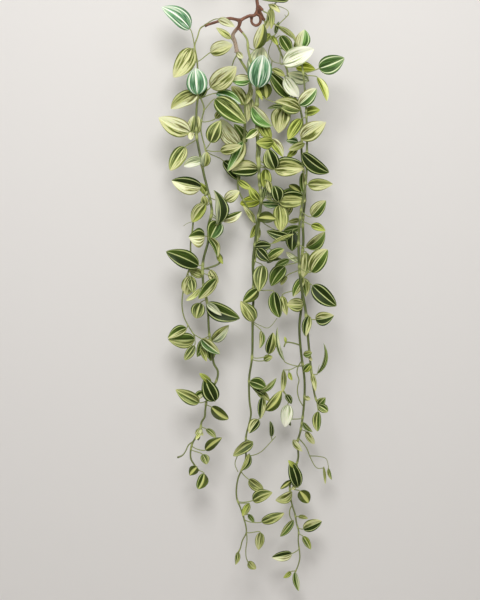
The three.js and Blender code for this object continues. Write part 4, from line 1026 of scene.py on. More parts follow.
# A vine is a run of stem: its radii in mm at even shares of its length, and its places in pixels of the
# photograph. A leaf is: base x, base y, tip x, tip y and width in pixels, how far in mm it stands in front of
# the stem, how far in mm its tip leans to the viewer, and its tone, or the tones of its left and right half.
# Where it matters, options follow: the pixel of the joint where its stalk leaves the stem, how far it bows to
# its left as a share of its length, and by how many degrees it is rolled about its midrib.
# Leaves near the top carry paler tones: partly their own colour, partly painted light where the plant is lit
# most
TRAILING_STEMS = [
    {
        "name": "stem_left",
        "from": "left",
        "seed": 101,
        "top": 22,
        "depth": {"start": 56, "hang": 47, "within": 90},
        "vines": [
            {
                "radii": (0.8, 1.7, 1.7, 1.5, 1.1),
                "way": [
                    (200, 29), (197.5, 37), (194.5, 46), (196, 54), (197.5, 66), (198, 94), (196.5, 110),
                    (196.5, 135), (200, 155), (204, 175), (207.5, 189), (211.8, 212), (208.5, 225),
                    (208.4, 240), (203, 262), (203.6, 287), (207.4, 304), (209, 331), (212.5, 356),
                    (214, 364), (217.8, 371), (217, 379), (211.5, 390), (206.6, 401), (205.3, 410),
                    (204.6, 417), (201.6, 422), (200.2, 429), (196, 437), (192.6, 443), (190.6, 451),
                    (191, 459), (194.5, 465), (199, 471),
                ],
            },
            {
                "radii": (1.0, 0.8),
                "way": [
                    (199, 94), (201, 99), (204, 108), (201.7, 120), (201, 131), (205, 148), (206, 156),
                ],
            },
            {
                "radii": (1.3, 0.7),
                "way": [
                    (206.5, 190), (202, 201), (194.6, 214), (192.4, 230), (190.5, 246), (191, 262),
                    (184.8, 283), (182, 304), (184.4, 318), (194.6, 336),
                ],
            },
            {
                "radii": (0.9, 0.8, 0.8, 1.3),
                "way": [
                    (193.5, 440.5), (188.5, 445), (185.7, 451), (182.5, 455.3), (177.3, 457.6),
                ],
            },
            {
                "radii": (1.5, 1.4, 1.2),
                "way": [
                    (208, 240), (217, 252), (222, 258), (219, 263.5), (211, 267), (203.5, 269),
                ],
            },
            {"radii": (0.4, 0.3), "way": [(192.3, 222), (187, 223.5), (183.5, 226)]},
        ],
        "leaves": [
            (190, 29, 161.5, 7, 18.5, 4, 8, "blue", {"joint": (193.5, 47)}),
            (218.5, 19, 235, 27, 8, 20, 2, "cream"),
            (192, 48.5, 173.5, 77.5, 20, 2, 6, "pale", {"joint": (195, 50)}),
            (210.5, 52.5, 232.5, 44.5, 15, 0, 4, "cream/pale", {"joint": (197, 61)}),
            (210.5, 87.5, 236.5, 66.5, 21, -3, 6, "cream/pale", {"joint": (198.5, 98)}),
            (197.4, 94.5, 195.2, 68, 22, 8, 4, "blue"),
            (197, 94, 171, 109, 17, 2, 6, "cream/olive"),
            (215.5, 99, 246.5, 123.5, 20.5, 5, 7, "stripe/dark", {"joint": (204, 109)}),
            (216, 93.5, 241, 104, 12, -7, 0, "fresh/blue", {"joint": (199, 98)}),
            (210.5, 142.5, 220.5, 120.5, 16, 6, 4, "stripe", {"joint": (204.5, 149)}),
            (223.5, 161, 239.5, 180, 14, -29, -3, "deep", {"joint": (205, 150)}),
            (189.5, 132.5, 158.5, 117.5, 20, 2, 8, "pale/cream", {"bow": 0.1}),
            (190.5, 133, 194, 115.5, 8, -2, 2, "cream/stripe"),
            (191.5, 132, 190.5, 140, 6.5, 7, 2, "cream", {"joint": (196, 136)}),
            (185, 147, 170, 170.5, 15.5, 1, 5, "pale/stripe", {"joint": (196.5, 138)}),
            (207, 195, 197.5, 182, 8, -4, -2, "lime"),
            (218, 224.5, 213.5, 190, 15.5, 8, 3, "sage/deep", {"bow": -0.1, "roll": 35}),
            (224.5, 200, 239.5, 191, 12, -4, 0, "cream/pale"),
            (222, 220, 241.8, 211.5, 9.5, 0, 3, "dark/cream"),
            (205, 204, 192, 222, 13, 5, 3, "lime/pale"),
            (219, 221.5, 210, 239, 17, 2, 4, "green/dark"),
            (204.5, 236, 188.5, 237, 21, 5, 4, "cream/dark", {"joint": (208, 236), "roll": -30}),
            (208.5, 237.5, 217.5, 257, 8, 7, 3, "pale/dark", {"joint": (207.5, 235), "bow": 0.14}),
            (198.5, 265.5, 166, 251.5, 18.5, 3, 8, "deep/dark", {"joint": (202, 264)}),
            (191, 279.5, 193, 292.5, 10, 6, 3, "stripe", {"joint": (188, 272)}),
            (199.5, 289, 186, 300.5, 6, 8, 3, "lemon"),
            (216.5, 279, 198.5, 299, 12, 4, 4, "pale/dark", {"joint": (203.5, 272)}),
            (200.5, 303, 196, 318.5, 14.5, -4, 0, "stripe"),
            (206.5, 304.5, 240, 318.5, 18.5, 4, 8, "dark/deep", {"bow": -0.03}),
            (186.5, 328, 167.5, 338.5, 11, 4, 4, "pale/dark"),
            (194.5, 339.5, 168, 339.5, 16, 0, 5, "olive/dark"),
            (194.5, 345.5, 184.5, 360, 9, 2, 3, "stripe"),
            (200.5, 348, 206.5, 361.5, 6.5, 5, 3, "olive"),
            (201.5, 339, 220, 354, 11, 9, 4, "pale/green", {"roll": 15}),
            (212, 341, 229, 325, 12, -3, 3, "olive/sage"),
            (215, 401, 204.5, 378, 17, 6, 6, "deep"),
            (199.2, 402.5, 175.5, 389.5, 13.5, 2, 5, "stripe/olive"),
            (204.5, 392, 194.8, 397.8, 8, -4, -2, "cream/dark"),
            (211.5, 407, 228.5, 419, 11.5, 2, 4, "mid"),
            (206.2, 429, 216, 437.6, 6, 1, 2, "stripe"),
            (200.5, 433, 195.8, 440, 4, 3, 1, "lemon"),
            (205.4, 450, 222, 437.6, 10, 2, 4, "mid", {"joint": (192.4, 446)}),
            (202.5, 454.5, 206.8, 464.3, 9, 4, 2, "stripe"),
            (197, 467, 189.5, 475.5, 9.5, 3, 2, "mid"),
            (204, 473.5, 198, 489, 11.5, 2, 3, "mid/dark"),
            (196.5, 134, 198, 116, 10, -6, -2, "pale", {"joint": (196.5, 137)}),
            (204.5, 166.5, 206, 151.5, 10.5, 4, 3, "sage/olive", {"joint": (202.5, 165)}),
            (199, 98, 207, 86, 8, -3, 0, "dark"),
            (215.5, 118.5, 222.5, 110, 7, 1, 2, "olive", {"joint": (202.5, 120)}),
            (206.5, 205, 203, 196, 8, 3, 1, "olive"),
            (203, 276, 189, 270, 10, -6, -2, "olive"),
            (191, 276, 186.5, 295, 15, -3, 0, "olive/pale", {"joint": (190, 264)}),
            (210, 270, 218, 283, 9, -2, 1, "pale", {"joint": (203.5, 268)}),
            (217.5, 254, 223, 264, 5.5, 2, 2, "lime"),
            (207, 303, 221.5, 315.5, 7.5, 10, 5, "sage"),
            (203, 340, 197, 357, 10, -3, 0, "dark"),
            (209, 344, 211, 361, 10, -4, 0, "dark"),
            (211, 383, 199.3, 373.3, 6.5, 9, 5, "lime"),
            (202, 429.5, 198.6, 434.5, 3.5, 2, 1, "cream"),
            (200, 431.5, 203, 436, 3, 1, 1, "pale"),
            (199.5, 434.5, 198, 440.5, 3, -1, 0, "deep"),
            (198, 429, 195, 434.5, 3, -1, 0, "pale"),
            (220.5, 151, 242, 145.5, 11, 2, 3, "pale", {"joint": (205, 148)}),
            (202.5, 160.5, 183.5, 166, 11, 2, 4, "white/sage", {"joint": (201.5, 158)}),
            (201, 187, 171.5, 180.5, 19, 4, 7, "cream/deep", {"joint": (206, 194), "roll": -20}),
        ],
    },
    {
        "name": "stem_middle_left",
        "from": "fork",
        "seed": 211,
        "top": 54,
        "depth": {"start": 50, "hang": 22, "within": 50},
        "vines": [
            {
                "radii": (1.5, 2.2, 1.4, 1.0),
                "way": [
                    (241, 61), (249, 75), (250, 88), (246, 103), (245, 123), (243.8, 144.6), (242.5, 162),
                    (238, 179), (238.5, 190), (244.4, 202), (252, 215), (255, 222),
                ],
            },
            {"radii": (1.0, 0.7), "way": [(237.5, 55), (234, 60), (232, 66)]},
        ],
        "leaves": [
            (231, 38.5, 216, 27.5, 7, -8, 2, "lemon"),
            (244, 105, 231.5, 86, 13, -5, 0, "olive/pale"),
            (250.5, 79.5, 231.5, 80, 12, 4, 3, "fresh/cream"),
            (239, 144.5, 220, 119, 18, 7, 4, "cream"),
            (246, 143, 234, 124, 12, -8, -2, "dark"),
            (258, 169, 231.5, 171.5, 17, 5, 3, "deep/pale"),
            (238.5, 180.5, 251.5, 189, 7.5, 4, 2, "lime"),
            (256, 224, 259.5, 238, 5, 0, 2, "olive"),
            (251.5, 99, 247.5, 122, 8, 3, 2, "pale"),
            (256.5, 225, 250, 238, 7, 3, 1, "lime"),
            (237.5, 52.5, 243, 58.5, 6, 4, 2, "cream"),
            (243.5, 142, 227.5, 171.5, 14, 12, 3, "pale/fresh",
             {"joint": (244, 141), "bow": 0.07, "roll": 15}),
            (260.5, 199.5, 240, 204, 12.5, -4, 0, "acid"),
            (255, 223, 243, 206, 6.5, -2, 1, "pale"),
            (252, 88, 246.5, 104, 4.5, 3, 1, "pale"),
        ],
    },
    {
        "name": "stem_middle",
        "from": "middle",
        "seed": 307,
        "top": 61,
        "depth": {"start": 66, "hang": 62, "within": 40},
        "vines": [
            {
                "radii": (1.3, 2.5, 2.1, 1.8, 1.6, 1.3, 1.1, 0.8),
                "way": [
                    (247.2, 40), (248.2, 50), (250.6, 60), (254.5, 75), (257.4, 88), (256.5, 110),
                    (257.8, 145), (259.7, 182), (261.2, 201), (258, 219), (255.5, 240), (253, 262),
                    (253.6, 286), (252.7, 322), (252, 358), (249.2, 378), (249.5, 401), (251, 413.6),
                    (249.2, 424), (246.4, 434), (245.6, 443), (245.6, 459.5), (241.6, 470), (238.2, 478),
                    (236.4, 489), (236.8, 498), (240.5, 508), (243.8, 518), (246.2, 528), (246.2, 533),
                    (242.2, 541), (240.4, 548), (238, 554), (237, 561),
                ],
            },
            {
                "radii": (0.7, 0.5),
                "way": [
                    (245.2, 456), (252, 455.5), (260.4, 452.3), (268, 445), (275.7, 436.4),
                ],
            },
            {"radii": (0.7, 0.5), "way": [(247, 446), (238, 455), (235, 464), (238, 472)]},
            {
                "radii": (0.7, 0.6),
                "way": [
                    (246.5, 532), (247, 540), (245.8, 550), (246.3, 558), (248, 562),
                ],
            },
            {
                "radii": (0.5, 0.4),
                "way": [
                    (252.7, 321), (260, 325.5), (268, 328), (274, 322.5), (277, 318),
                ],
            },
            {"radii": (0.9, 0.5), "way": [(249.3, 384), (258, 394), (264, 402), (265, 410), (260.5, 418)]},
            {
                "radii": (1.3, 1.2, 1.0),
                "way": [
                    (262, 202), (260.5, 214), (259, 226), (257.5, 240), (256, 255), (253.2, 268),
                ],
            },
        ],
        "leaves": [
            (257.6, 87.6, 263, 55, 24, 9, 3, "blue"),
            (257, 80, 261.5, 46, 23, -5, 0, "sage"),
            (255.5, 49, 263, 23.7, 13, 13, 4, "cream/mid"),
            (264.5, 83, 266.5, 98.5, 12.5, -4, 2, "mid"),
            (252.5, 106.5, 272, 126, 17, 5, 4, "cream/fresh", {"roll": 25}),
            (283, 106.5, 267.5, 108.5, 5, -3, 2, "deep"),
            (260.5, 121, 271, 140, 12, -3, 2, "lime"),
            (275, 168.5, 268, 148.5, 17, 3, 4, "stripe/deep"),
            (274.5, 169, 304, 168.5, 17.5, 2, 3, "olive/pale"),
            (273, 142, 256, 142.5, 13, 4, 2, "lime"),
            (257, 163.5, 259, 141, 5, -6, -2, "pale"),
            (268, 181, 272, 194, 7, 4, 2, "pale"),
            (259, 200.5, 249, 186.5, 9, 4, 3, "lime"),
            (278.5, 201, 274, 185.5, 14, 5, 3, "deep"),
            (279, 201.5, 305.7, 200.8, 14, 1, 2, "olive"),
            (279, 205.5, 280.5, 231.5, 16, -2, 3, "olive"),
            (258.5, 218, 276, 219, 12, 4, 3, "mid"),
            (290, 237, 266.5, 231, 11, -4, 0, "deep"),
            (272, 243.5, 294, 234, 4, 3, 2, "olive"),
            (257.5, 249, 269, 261, 11, 7, 3, "deep"),
            (276, 254, 267, 263, 8, -1, 2, "deep"),
            (262.5, 265.5, 259, 292, 16, 2, 4, "stripe"),
            (258, 289.5, 243, 302, 12, 3, 3, "mid/dark"),
            (254.5, 320.5, 240.5, 301, 14.5, 5, 4, "olive/stripe"),
            (274, 292, 279.5, 317.5, 13.5, 2, 4, "deep/dark", {"joint": (257, 288.5)}),
            (261, 331, 259.5, 348.5, 6, 2, 2, "dark/pale", {"joint": (253.5, 322), "bow": 0.14}),
            (268.5, 354, 273, 332.5, 10.5, 3, 3, "deep/olive", {"joint": (252.5, 357)}),
            (264, 360.5, 272.5, 356.5, 7, -3, 2, "lime/stripe", {"joint": (252.5, 358)}),
            (250, 381.5, 266, 388, 12.5, 1, 3, "dark"),
            (252, 386, 265, 394.5, 7, -2, 1, "deep"),
            (261.5, 391.5, 276.5, 378, 6, 3, 3, "stripe/dark", {"bow": -0.12}),
            (266, 410.5, 281.5, 390.5, 11.5, 2, 4, "olive/mid", {"bow": -0.08}),
            (263, 397, 260.5, 419, 8.5, 5, 3, "pale/deep"),
            (258.5, 419.5, 249, 433.5, 11, 5, 2, "deep/pale"),
            (271.3, 437, 270, 421, 5, 3, 2, "deep"),
            (252.8, 442.5, 233, 456, 11.5, 3, 4, "stripe/olive", {"bow": -0.1}),
            (249.3, 454, 240.8, 471, 7.5, 5, 3, "deep/olive", {"bow": 0.12}),
            (249, 479.5, 263.5, 490, 11, 2, 4, "olive"),
            (252.8, 500.5, 272.5, 492.5, 13, 2, 4, "stripe/olive"),
            (249.5, 504, 242.3, 516, 7.5, 4, 2, "olive/lime", {"joint": (238.5, 502)}),
            (261.7, 522, 284.2, 513, 10.5, 2, 4, "stripe/olive"),
            (248.3, 514.4, 254.3, 522.3, 5, -3, 2, "dark"),
            (260.3, 532.5, 258.3, 550, 9.5, 1, 3, "olive/pale"),
            (238, 552, 235.5, 565, 5.5, 3, 2, "olive/stripe"),
            (248.3, 561.5, 256, 569, 7.5, 1, 2, "olive"),
            (275, 166, 304, 165.5, 17, -4, 0, "deep"),
            (266, 186, 263.5, 200, 5, 3, 2, "deep"),
            (279, 199, 305, 197, 15, -4, 0, "deep"),
            (255, 246.5, 271, 245.5, 11.5, 3, 1, "deep"),
            (268, 259, 284, 249, 10, 4, 2, "dark/olive"),
            (262, 260.5, 281.5, 259, 5, 2, 1, "deep"),
            (257.5, 130, 245.5, 139, 9, 4, 3, "cream/dark"),
            (265.5, 169, 266, 191, 12, -3, 2, "lime"),
            (271.5, 139, 283, 157, 10.5, 0, 2, "cream/lime"),
            (262, 203, 283, 203.5, 8, -8, 0, "green"),
            (266, 180, 269.5, 203, 7.5, -7, 0, "sage"),
            (256.5, 89, 262.5, 100.5, 4.5, 2, 1, "lime"),
            (257, 391, 270, 401, 8, -4, 1, "olive"),
        ],
    },
    {
        "name": "stem_right",
        "from": "right",
        "seed": 401,
        "top": 21,
        "depth": {"start": 69, "hang": 36, "within": 60},
        "vines": [
            {
                "radii": (1.1, 1.5, 1.8, 1.4, 0.8),
                "way": [
                    (264.5, 30), (269, 37), (276, 43), (280, 51), (284, 61), (287.5, 72), (289.5, 86),
                    (295, 97), (300.4, 110), (302.5, 124), (301.5, 150), (303.5, 171), (305, 198),
                    (302.8, 222), (303.4, 240), (301.8, 262), (302.2, 300), (299.4, 326), (301, 352),
                    (304.5, 380), (304, 404), (300.5, 431), (297.6, 442), (298.2, 458), (292.6, 474),
                    (290, 485), (290.4, 497), (292.4, 506), (295, 514), (296.5, 523), (298.6, 531),
                    (298.2, 540), (299.2, 549), (299.9, 557), (298.2, 565), (295.3, 572),
                ],
            },
            {"radii": (1.0, 0.6), "way": [(267, 26), (268, 17), (271, 8), (279, 0), (286, -7)]},
            {"radii": (0.8, 0.5), "way": [(298.4, 438), (306, 447), (311, 459), (317, 468), (324, 468)]},
            {"radii": (0.7, 0.4), "way": [(309.8, 455), (318, 456.3), (326, 458.6), (328.8, 468)]},
            {"radii": (0.7, 0.5), "way": [(301.6, 366), (297, 366.5), (290.5, 369.5), (284, 370)]},
            {"radii": (0.7, 0.8, 0.5), "way": [(291.6, 504.5), (289.8, 510), (289.8, 516), (292.5, 521)]},
            {
                "radii": (0.5, 0.4),
                "way": [
                    (278, 8.5), (284, 8.2), (288, 11), (288.5, 15), (286, 16.8), (284.8, 14.5),
                ],
            },
            {"radii": (0.6, 0.5), "way": [(266, 46), (268.5, 53), (272, 60.5), (277, 63), (284, 63)]},
            {"radii": (1.1, 0.9), "way": [(300.8, 344.5), (293, 343), (286, 342.5), (284, 347)]},
            {
                "radii": (0.8, 0.7, 0.7),
                "way": [
                    (301.5, 360), (298, 367), (297, 373), (299, 380), (297.8, 386), (297.4, 392),
                    (299.5, 400), (303, 406),
                ],
            },
            {"radii": (0.4, 0.6), "way": [(283, 371), (282.4, 382), (283.4, 392), (287, 396), (289, 403)]},
        ],
        "leaves": [
            (289, -2, 262, 0, 15, 4, 3, "deep"),
            (269, 4.6, 280, 12.5, 6, 5, 2, "pale"),
            (270, 9, 266, 30, 6, -5, 0, "pale"),
            (270, 34, 263, 43, 6, 3, 2, "lime"),
            (272, 36, 278, 45, 5, -3, 2, "lime"),
            (278.5, 27, 296, 40, 6, -4, 1, "olive"),
            (280.5, 36, 291, 53, 12.5, -2, 1, "dark"),
            (301.5, 48, 304.5, 29.5, 15, 16, 3, "cream/fresh"),
            (283.5, 64, 314, 49, 19, 46, 5, "white", {"joint": (284, 62)}),
            (296, 67, 315.5, 69.5, 11.5, -2, 3, "acid"),
            (308.5, 80, 288, 73, 13.5, 12, 3, "sage"),
            (285, 77.5, 299, 97, 14, 12, 0, "white"),
            (289, 97, 268, 71, 15, 0, 4, "dark/deep"),
            (300, 110, 275.5, 101, 17.5, 3, 4, "stripe/pale"),
            (283, 107.5, 278.5, 133.5, 20, -1, 3, "pale"),
            (298, 142, 286, 140.5, 8, 2, 2, "green"),
            (304.5, 144, 288.5, 150, 7.5, 9, 2, "lemon"),
            (302, 190, 281, 192, 8, -4, 0, "dark"),
            (300.5, 192.5, 289, 185, 9, 5, 2, "mid"),
            (303, 172, 304.5, 195, 7, 6, 0, "cream/dark"),
            (291, 205.5, 285.5, 218, 9, 2, 2, "pale/olive"),
            (292.5, 231, 292, 251, 15, 3, 3, "deep"),
            (284.5, 266.5, 271, 286, 15, 1, 3, "dark"),
            (286.6, 276, 281, 285, 6, -3, 2, "olive"),
            (282, 296, 287, 315.5, 9, -1, 2, "olive/pale"),
            (303.5, 304.5, 287, 304.5, 14.5, 5, 3, "olive/pale"),
            (303.5, 278.5, 293, 297, 10.5, 4, 3, "pale/dark"),
            (304, 278, 305.5, 297, 8.5, 2, 1, "pale/dark"),
            (306.3, 252.5, 303, 277.5, 11.5, 5, 3, "stripe/pale"),
            (284, 360.5, 277.5, 327, 4.5, -2, 2, "dark/sage", {"joint": (302, 364), "bow": 0.08}),
            (283.5, 370, 282.3, 392.5, 6, 1, 2, "olive/pale"),
            (289, 372.5, 292.3, 380.5, 4.5, 3, 2, "lime"),
            (287.8, 404.5, 284.8, 427, 13, 3, 3, "white"),
            (303, 422.5, 312.6, 432, 5.5, 2, 2, "stripe/dark"),
            (306, 431.5, 314.5, 444, 7, -2, 2, "pale"),
            (293, 440.5, 302.5, 451.5, 6.5, 4, 2, "cream/pale"),
            (298.3, 486.8, 290.3, 461.5, 13.5, 7, 3, "deep"),
            (291.5, 480.5, 280.3, 489, 5.5, 1, 3, "mid"),
            (328.3, 468.5, 331.8, 480, 4, 1, 1, "dark/olive"),
            (323.6, 467, 325.3, 484, 3, 1, 1, "olive"),
            (299.7, 491, 308.5, 503, 12.5, 2, 3, "mid"),
            (291.8, 492.5, 275.5, 500.5, 10.5, 2, 3, "olive/pale", {"bow": 0.12}),
            (298.3, 516.4, 308, 518.6, 4.5, -2, 2, "olive"),
            (293.3, 520.3, 280, 536.5, 8, 2, 3, "dark/stripe"),
            (303.3, 529, 321.8, 521.2, 12, 2, 4, "pale/deep"),
            (303, 536.3, 310.8, 549.5, 7, 3, 2, "lime/stripe"),
            (291.8, 553.5, 271.8, 557.5, 10.5, 2, 3, "cream/deep"),
            (291, 571.6, 283.3, 577.8, 5, 2, 2, "lime"),
            (295, 572, 298.8, 591, 6.5, 1, 2, "sage/dark"),
            (272, 9, 271, 29, 6, 8, 1, "olive"),
            (275.5, 34, 279, 21.5, 4.5, 5, 2, "deep"),
            (294, 48, 300.5, 37, 5, 3, 2, "pale"),
            (272, 69, 285, 76.5, 7, -4, 0, "olive"),
            (297, 147, 286.5, 158, 7, -2, 0, "lime"),
            (286, 394.5, 291.5, 404, 6.5, 5, 2, "deep", {"joint": (283, 388)}),
            (297, 467, 288.2, 460.2, 6, 10, 2, "lime"),
            (296, 485.5, 291.5, 490, 4, 4, 2, "pale"),
            (289, 259.5, 275, 266.5, 7.5, -3, 1, "dark"),
            (299, 262, 286, 252, 6.5, -6, 0, "sage"),
            (300, 227.5, 283.5, 231, 8.5, -5, 0, "dark"),
            (300, 219.5, 288.5, 222, 5.5, -3, 0, "olive"),
            (305, 397, 310.5, 399.5, 5, 1, 1, "pale"),
            (288, 420.5, 290.5, 426, 3, 2, 1, "deep"),
            (285.5, 342.5, 284.5, 336.5, 3, 1, 1, "lime"),
        ],
    },
    {
        "name": "stem_right_outer",
        "from": "outer",
        "seed": 503,
        "top": 12,
        "depth": {"start": 74, "hang": 86, "within": 60},
        "vines": [
            {
                "radii": (0.9, 1.2, 1.5, 1.8, 1.2),
                "way": [
                    (267, 13), (270.5, 19), (275, 24.5), (280, 26.6), (286, 29.5), (291, 34.5), (295.5, 42),
                    (300, 56), (303, 72), (305, 92), (306.6, 120), (307, 150), (306, 180), (301.5, 208),
                    (298.8, 235), (298.8, 256), (301, 285), (305.6, 311), (308.4, 342), (311.5, 373),
                    (314.5, 394), (317, 402),
                ],
            },
        ],
        "leaves": [
            (319, 68.5, 344.5, 58, 19, 1, 4, "green", {"joint": (313, 69.5)}),
            (317.5, 77.5, 327, 101, 7.5, 3, 2, "lemon/lime", {"bow": 0.09}),
            (299, 105, 316.5, 88.5, 14, 3, 4, "cream/green"),
            (305, 113, 320, 110, 10, -3, 2, "lime"),
            (301, 138.5, 326, 122, 18.5, 2, 4, "cream/pale"),
            (301, 119, 288, 139.5, 12, -3, 2, "lime"),
            (302.5, 153.5, 329, 172.5, 17, 3, 4, "deep", {"roll": 25}),
            (308, 184.5, 333, 184, 12.5, 2, 4, "olive/pale"),
            (312, 216.5, 326, 200.5, 13.5, 2, 3, "pale/dark"),
            (311.2, 225, 325.5, 231, 8, 1, 2, "lime"),
            (306.5, 247.5, 325, 231.5, 14.5, 2, 4, "pale/dark", {"roll": 25}),
            (311, 272, 327.5, 249.5, 18, 3, 4, "pale/dark"),
            (312.5, 285.5, 336.5, 306, 17, 2, 4, "deep", {"joint": (303, 272)}),
            (315.5, 319.5, 334, 315.5, 14, 2, 3, "pale/deep"),
            (309, 316, 305.5, 336.5, 9.5, 4, 2, "pale/deep"),
            (303.5, 354.8, 312, 352.5, 7, 2, 2, "olive/dark"),
            (303.8, 371.5, 311, 363.5, 7.5, -2, 2, "dark/lime"),
            (317.5, 373.8, 323.5, 343, 4.5, 2, 2, "deep/dark", {"bow": -0.17}),
            (311.8, 373, 315.5, 391.5, 5.5, 4, 2, "pale"),
            (318.4, 405.5, 325.5, 397.5, 8.5, 1, 2, "stripe/dark"),
            (318.6, 405.8, 328, 411.8, 9, 3, 2, "dark/stripe"),
            (318, 411.5, 317.5, 431.5, 9, 1, 2, "dark/olive"),
            (309, 355, 312, 361, 3.5, 1, 1, "pale"),
        ],
    },
]


def smooth(t):
    """Eases from 0 to 1 while t goes from 0 to 1."""
    c = min(max(t, 0.0), 1.0)
    return c * c * (3 - 2 * c)


def depth_at(stem, pixel_y):
    """How far in mm in front of the wall a trailing stem hangs at a height in the photograph."""
    start, hang, within = (stem["depth"][key] for key in ("start", "hang", "within"))
    return start + (hang - start) * smooth((pixel_y - stem["top"]) / within)


def nearest(axes, target):
    """The nearest point of some stems' axes: which axis, and its index on it."""
    choices = ((axis, i) for axis in axes for i in range(len(axis)))
    return min(choices, key=lambda choice: (choice[0][choice[1]] - target).length)


def grow_vine(growth, axis, radii, joints, seed, top_painted_light=0.0):
    """A vine's tube: paler and swollen at its joints, paler where thin, and painted light at its top if told.
    """
    swells = []
    for i in range(len(axis)):
        swells.append(min(1.0, sum(bump_at((i - joint) * STEM_STEP, 0, JOINT_LENGTH) for joint in joints)))
    last = len(axis) - 1
    widths = []
    marks = []
    for i, swell in enumerate(swells):
        radius = between(radii, i / last)
        widths.append(radius * MM * (1 + JOINT_SWELL * swell))
        youth = THIN_PALENESS * (1 - radius / OLD_STEM_RADIUS)
        # The top of the vine is painted paler: painted light where the plant is lit most
        marks.append(max(swell, youth, top_painted_light * bump_at(i * STEM_STEP, 0, PAINTED_LIGHT_LENGTH)))
    add_tube(growth, axis, widths, STEM_SIDES, 0, seed, STEM_ROUGHNESS, marks)


def grow_leaf(growth, axis, i, base, tip, width, facing, tone, random, bow=0.0):
    """A leaf whose stalk leaves a vine at point i of its axis. Its bow is a share of its length."""
    heading = (axis[min(i + 1, len(axis) - 1)] - axis[max(i - 1, 0)]).normalized()
    add_petiole(growth, axis[i], heading, base, tip, facing)
    add_blade(growth, base, tip, width, facing, tone, random, bow)


for stem in TRAILING_STEMS:
    end, heading = branch_ends[stem["from"]]
    roll = draws(stem["seed"])
    random = draws(stem["seed"] + 7)
    growth = Growth()
    axes = []
    for vine in stem["vines"]:
        places = [place(x, y, depth_at(stem, y)) for x, y in vine["way"]]
        if axes:
            axis, i = nearest(axes, places[0])
            places[0] = axis[i]
        else:
            places[:0] = [end - heading * WOOD_OVERLAP, end + heading * WOOD_EXIT]
        axes.append(route(places, STEM_STEP))
    joints = [[] for _ in axes]
    for base_x, base_y, tip_x, tip_y, width, forward, lean, tone, *more in stem["leaves"]:
        options = more[0] if more else {}
        joint = options.get("joint")
        depth = depth_at(stem, base_y) + forward
        base = place(base_x, base_y, depth)
        tip = place(tip_x, tip_y, depth + lean)
        rolled = (roll() - 0.5) * LEAF_ROLL + math.radians(options.get("roll", 0.0))
        turn = Matrix.Rotation(rolled, 3, (tip - base).normalized())
        axis, i = nearest(axes, place(*joint, depth) if joint else base)
        if not joint:
            first = round(FIRST_ROOT / STEM_STEP) if axis is axes[0] else 0
            i = max(i - round((axis[i] - base).length * ROOT_SHIFT / STEM_STEP), first)
        joints[axes.index(axis)].append(i)
        bow = options.get("bow", 0.0)
        grow_leaf(growth, axis, i, base, tip, width * PIXEL, turn @ TOWARDS_VIEWER, tone, random, bow)
    for n, (axis, vine) in enumerate(zip(axes, stem["vines"])):
        # The first vine of each stem gets painted light at its top, where the plant is lit most
        grow_vine(growth, axis, vine["radii"], joints[n], stem["seed"] + n, 0.0 if n else TOP_PAINTED_LIGHT)
    piece = growth.finish(stem["name"].replace("stem", "trailing_stem"), [green_stem, striped_leaf])
    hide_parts(stem["name"])
    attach(piece, "root")

# Crown shoots: short leafy stems that rise from the soil round the old stem, arch over the rim and droop.
# Their leaves stand on alternate sides, and each shoot is one grown piece.
SOIL_BELOW_RIM = 12
SHOOT_DEPTH = 22
SHOOT_NECK = 3
SHOOT_RADII = (1.5, 0.8)
# The arch at two places, as shares of the shoot's spread and rise, then how far it has dropped where it is
# furthest out, and how many mm further out its tip hangs
SHOOT_ARCH = [(0.28, 0.85), (0.7, 0.8)]
SHOOT_SAG = 0.3
SHOOT_OVERHANG = 6
FIRST_LEAF_AT = 0.36
SHOOT_LEAF_LENGTH = 40 * MM
SHOOT_LEAF_WIDTH = 19 * MM
SHOOT_LEAF_STALK = 5 * MM
SMALLEST_LEAF = 0.8
LEAF_SIZE_RANGE = 0.25
# How far a leaf points along its shoot, at least and at random, to its side and up. The last one points on.
AIM_ALONG = 0.55
AIM_RANGE = 0.3
AIM_ASIDE = 0.75
AIM_UP = 0.25
LAST_AIM_ALONG = 1.2
LAST_AIM_ASIDE = 0.15
# How far a leaf's face turns in to its shoot and up to the light
FACE_IN = 0.3
FACE_UP = 0.4
FORM_SEED = 601
LOOKS_SEED = 811
SHOOT_SEED_STEP = 37
SHOOT_TONES = ["dark", "pale", "stripe", "dark/pale", "olive", "pale", "deep", "lime", "mid"]
UP = Vector((0, 0, 1))
# A shoot: its bearing in degrees, the distance of its root and of its reach from the middle, its rise and its
# drop, in mm, its number of leaves and their size
CROWN_SHOOTS = [
    (-68, 40, 96, 40, -50, 7, 1.0),
    (-40, 50, 104, 54, -64, 8, 1.0),
    (-12, 44, 96, 68, -12, 7, 1.0),
    (16, 47, 108, 50, -64, 8, 0.95),
    (39, 34, 90, 72, -22, 7, 1.0),
    (-48, 26, 44, 94, 76, 6, 0.8),
    (22, 17, 29, 94, 82, 6, 0.66),
    (68, 50, 100, 38, -58, 7, 1.0),
]

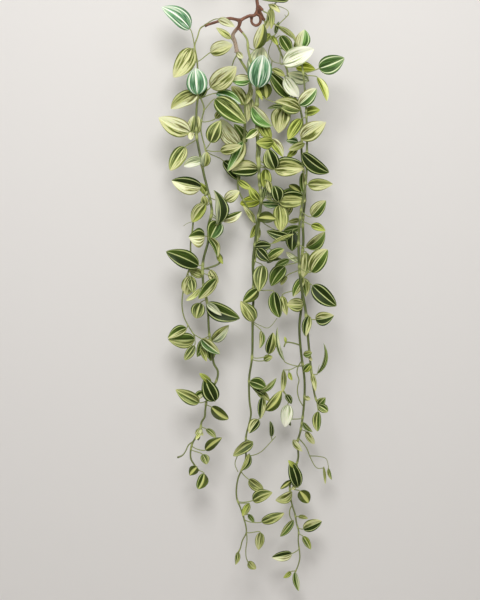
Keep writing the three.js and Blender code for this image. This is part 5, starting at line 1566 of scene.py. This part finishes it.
for n, (bearing, root, reach, rise, drop, leaves, leaf_size) in enumerate(CROWN_SHOOTS):
    outward = Vector((math.sin(math.radians(bearing)), -math.cos(math.radians(bearing)), 0))
    spread = reach - root
    way = [
        (root, -SOIL_BELOW_RIM - SHOOT_DEPTH),
        (root, -SOIL_BELOW_RIM + SHOOT_NECK),
        *[(root + spread * out, rise * high) for out, high in SHOOT_ARCH],
        (reach, drop * SHOOT_SAG),
        (reach + SHOOT_OVERHANG, drop),
    ]
    places = [outward * radius * MM + UP * height * MM for radius, height in way]
    axis = route(places, STEM_STEP)
    foot = round(SHOOT_DEPTH * MM / STEM_STEP) + 1
    random = draws(FORM_SEED + n * SHOOT_SEED_STEP)
    looks = draws(LOOKS_SEED + n * SHOOT_SEED_STEP)
    growth = Growth()
    joints = []
    for k in range(leaves):
        is_tip = k == leaves - 1
        share = FIRST_LEAF_AT + (1 - FIRST_LEAF_AT) * k / (leaves - 1)
        i = foot + round((len(axis) - 1 - foot) * share)
        tangent = (axis[min(i + 2, len(axis) - 1)] - axis[max(i - 2, 0)]).normalized()
        lateral = outward.cross(UP) * (1 if k % 2 else -1)
        raised = -tangent.cross(outward.cross(UP))
        along = LAST_AIM_ALONG if is_tip else AIM_ALONG + AIM_RANGE * random()
        aside = LAST_AIM_ASIDE if is_tip else AIM_ASIDE
        aim = tangent * along + (lateral * aside + raised * AIM_UP)
        aim.normalize()
        size = leaf_size * (SMALLEST_LEAF + LEAF_SIZE_RANGE * random())
        base = axis[i] + aim * SHOOT_LEAF_STALK
        tip = base + aim * SHOOT_LEAF_LENGTH * size
        facing = (raised - lateral * FACE_IN + UP * FACE_UP).normalized()
        tone = SHOOT_TONES[int(looks() * len(SHOOT_TONES))]
        joints.append(max(i - 1, 0))
        grow_leaf(growth, axis, max(i - 1, 0), base, tip, SHOOT_LEAF_WIDTH * size, facing, tone, looks)
    grow_vine(growth, axis, SHOOT_RADII, joints, LOOKS_SEED + n)
    piece = growth.finish(f"leafy_crown_shoot_{n + 1}", [green_stem, striped_leaf])
    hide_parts(f"crown_shoot_{n + 1}")
    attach(piece, "root")
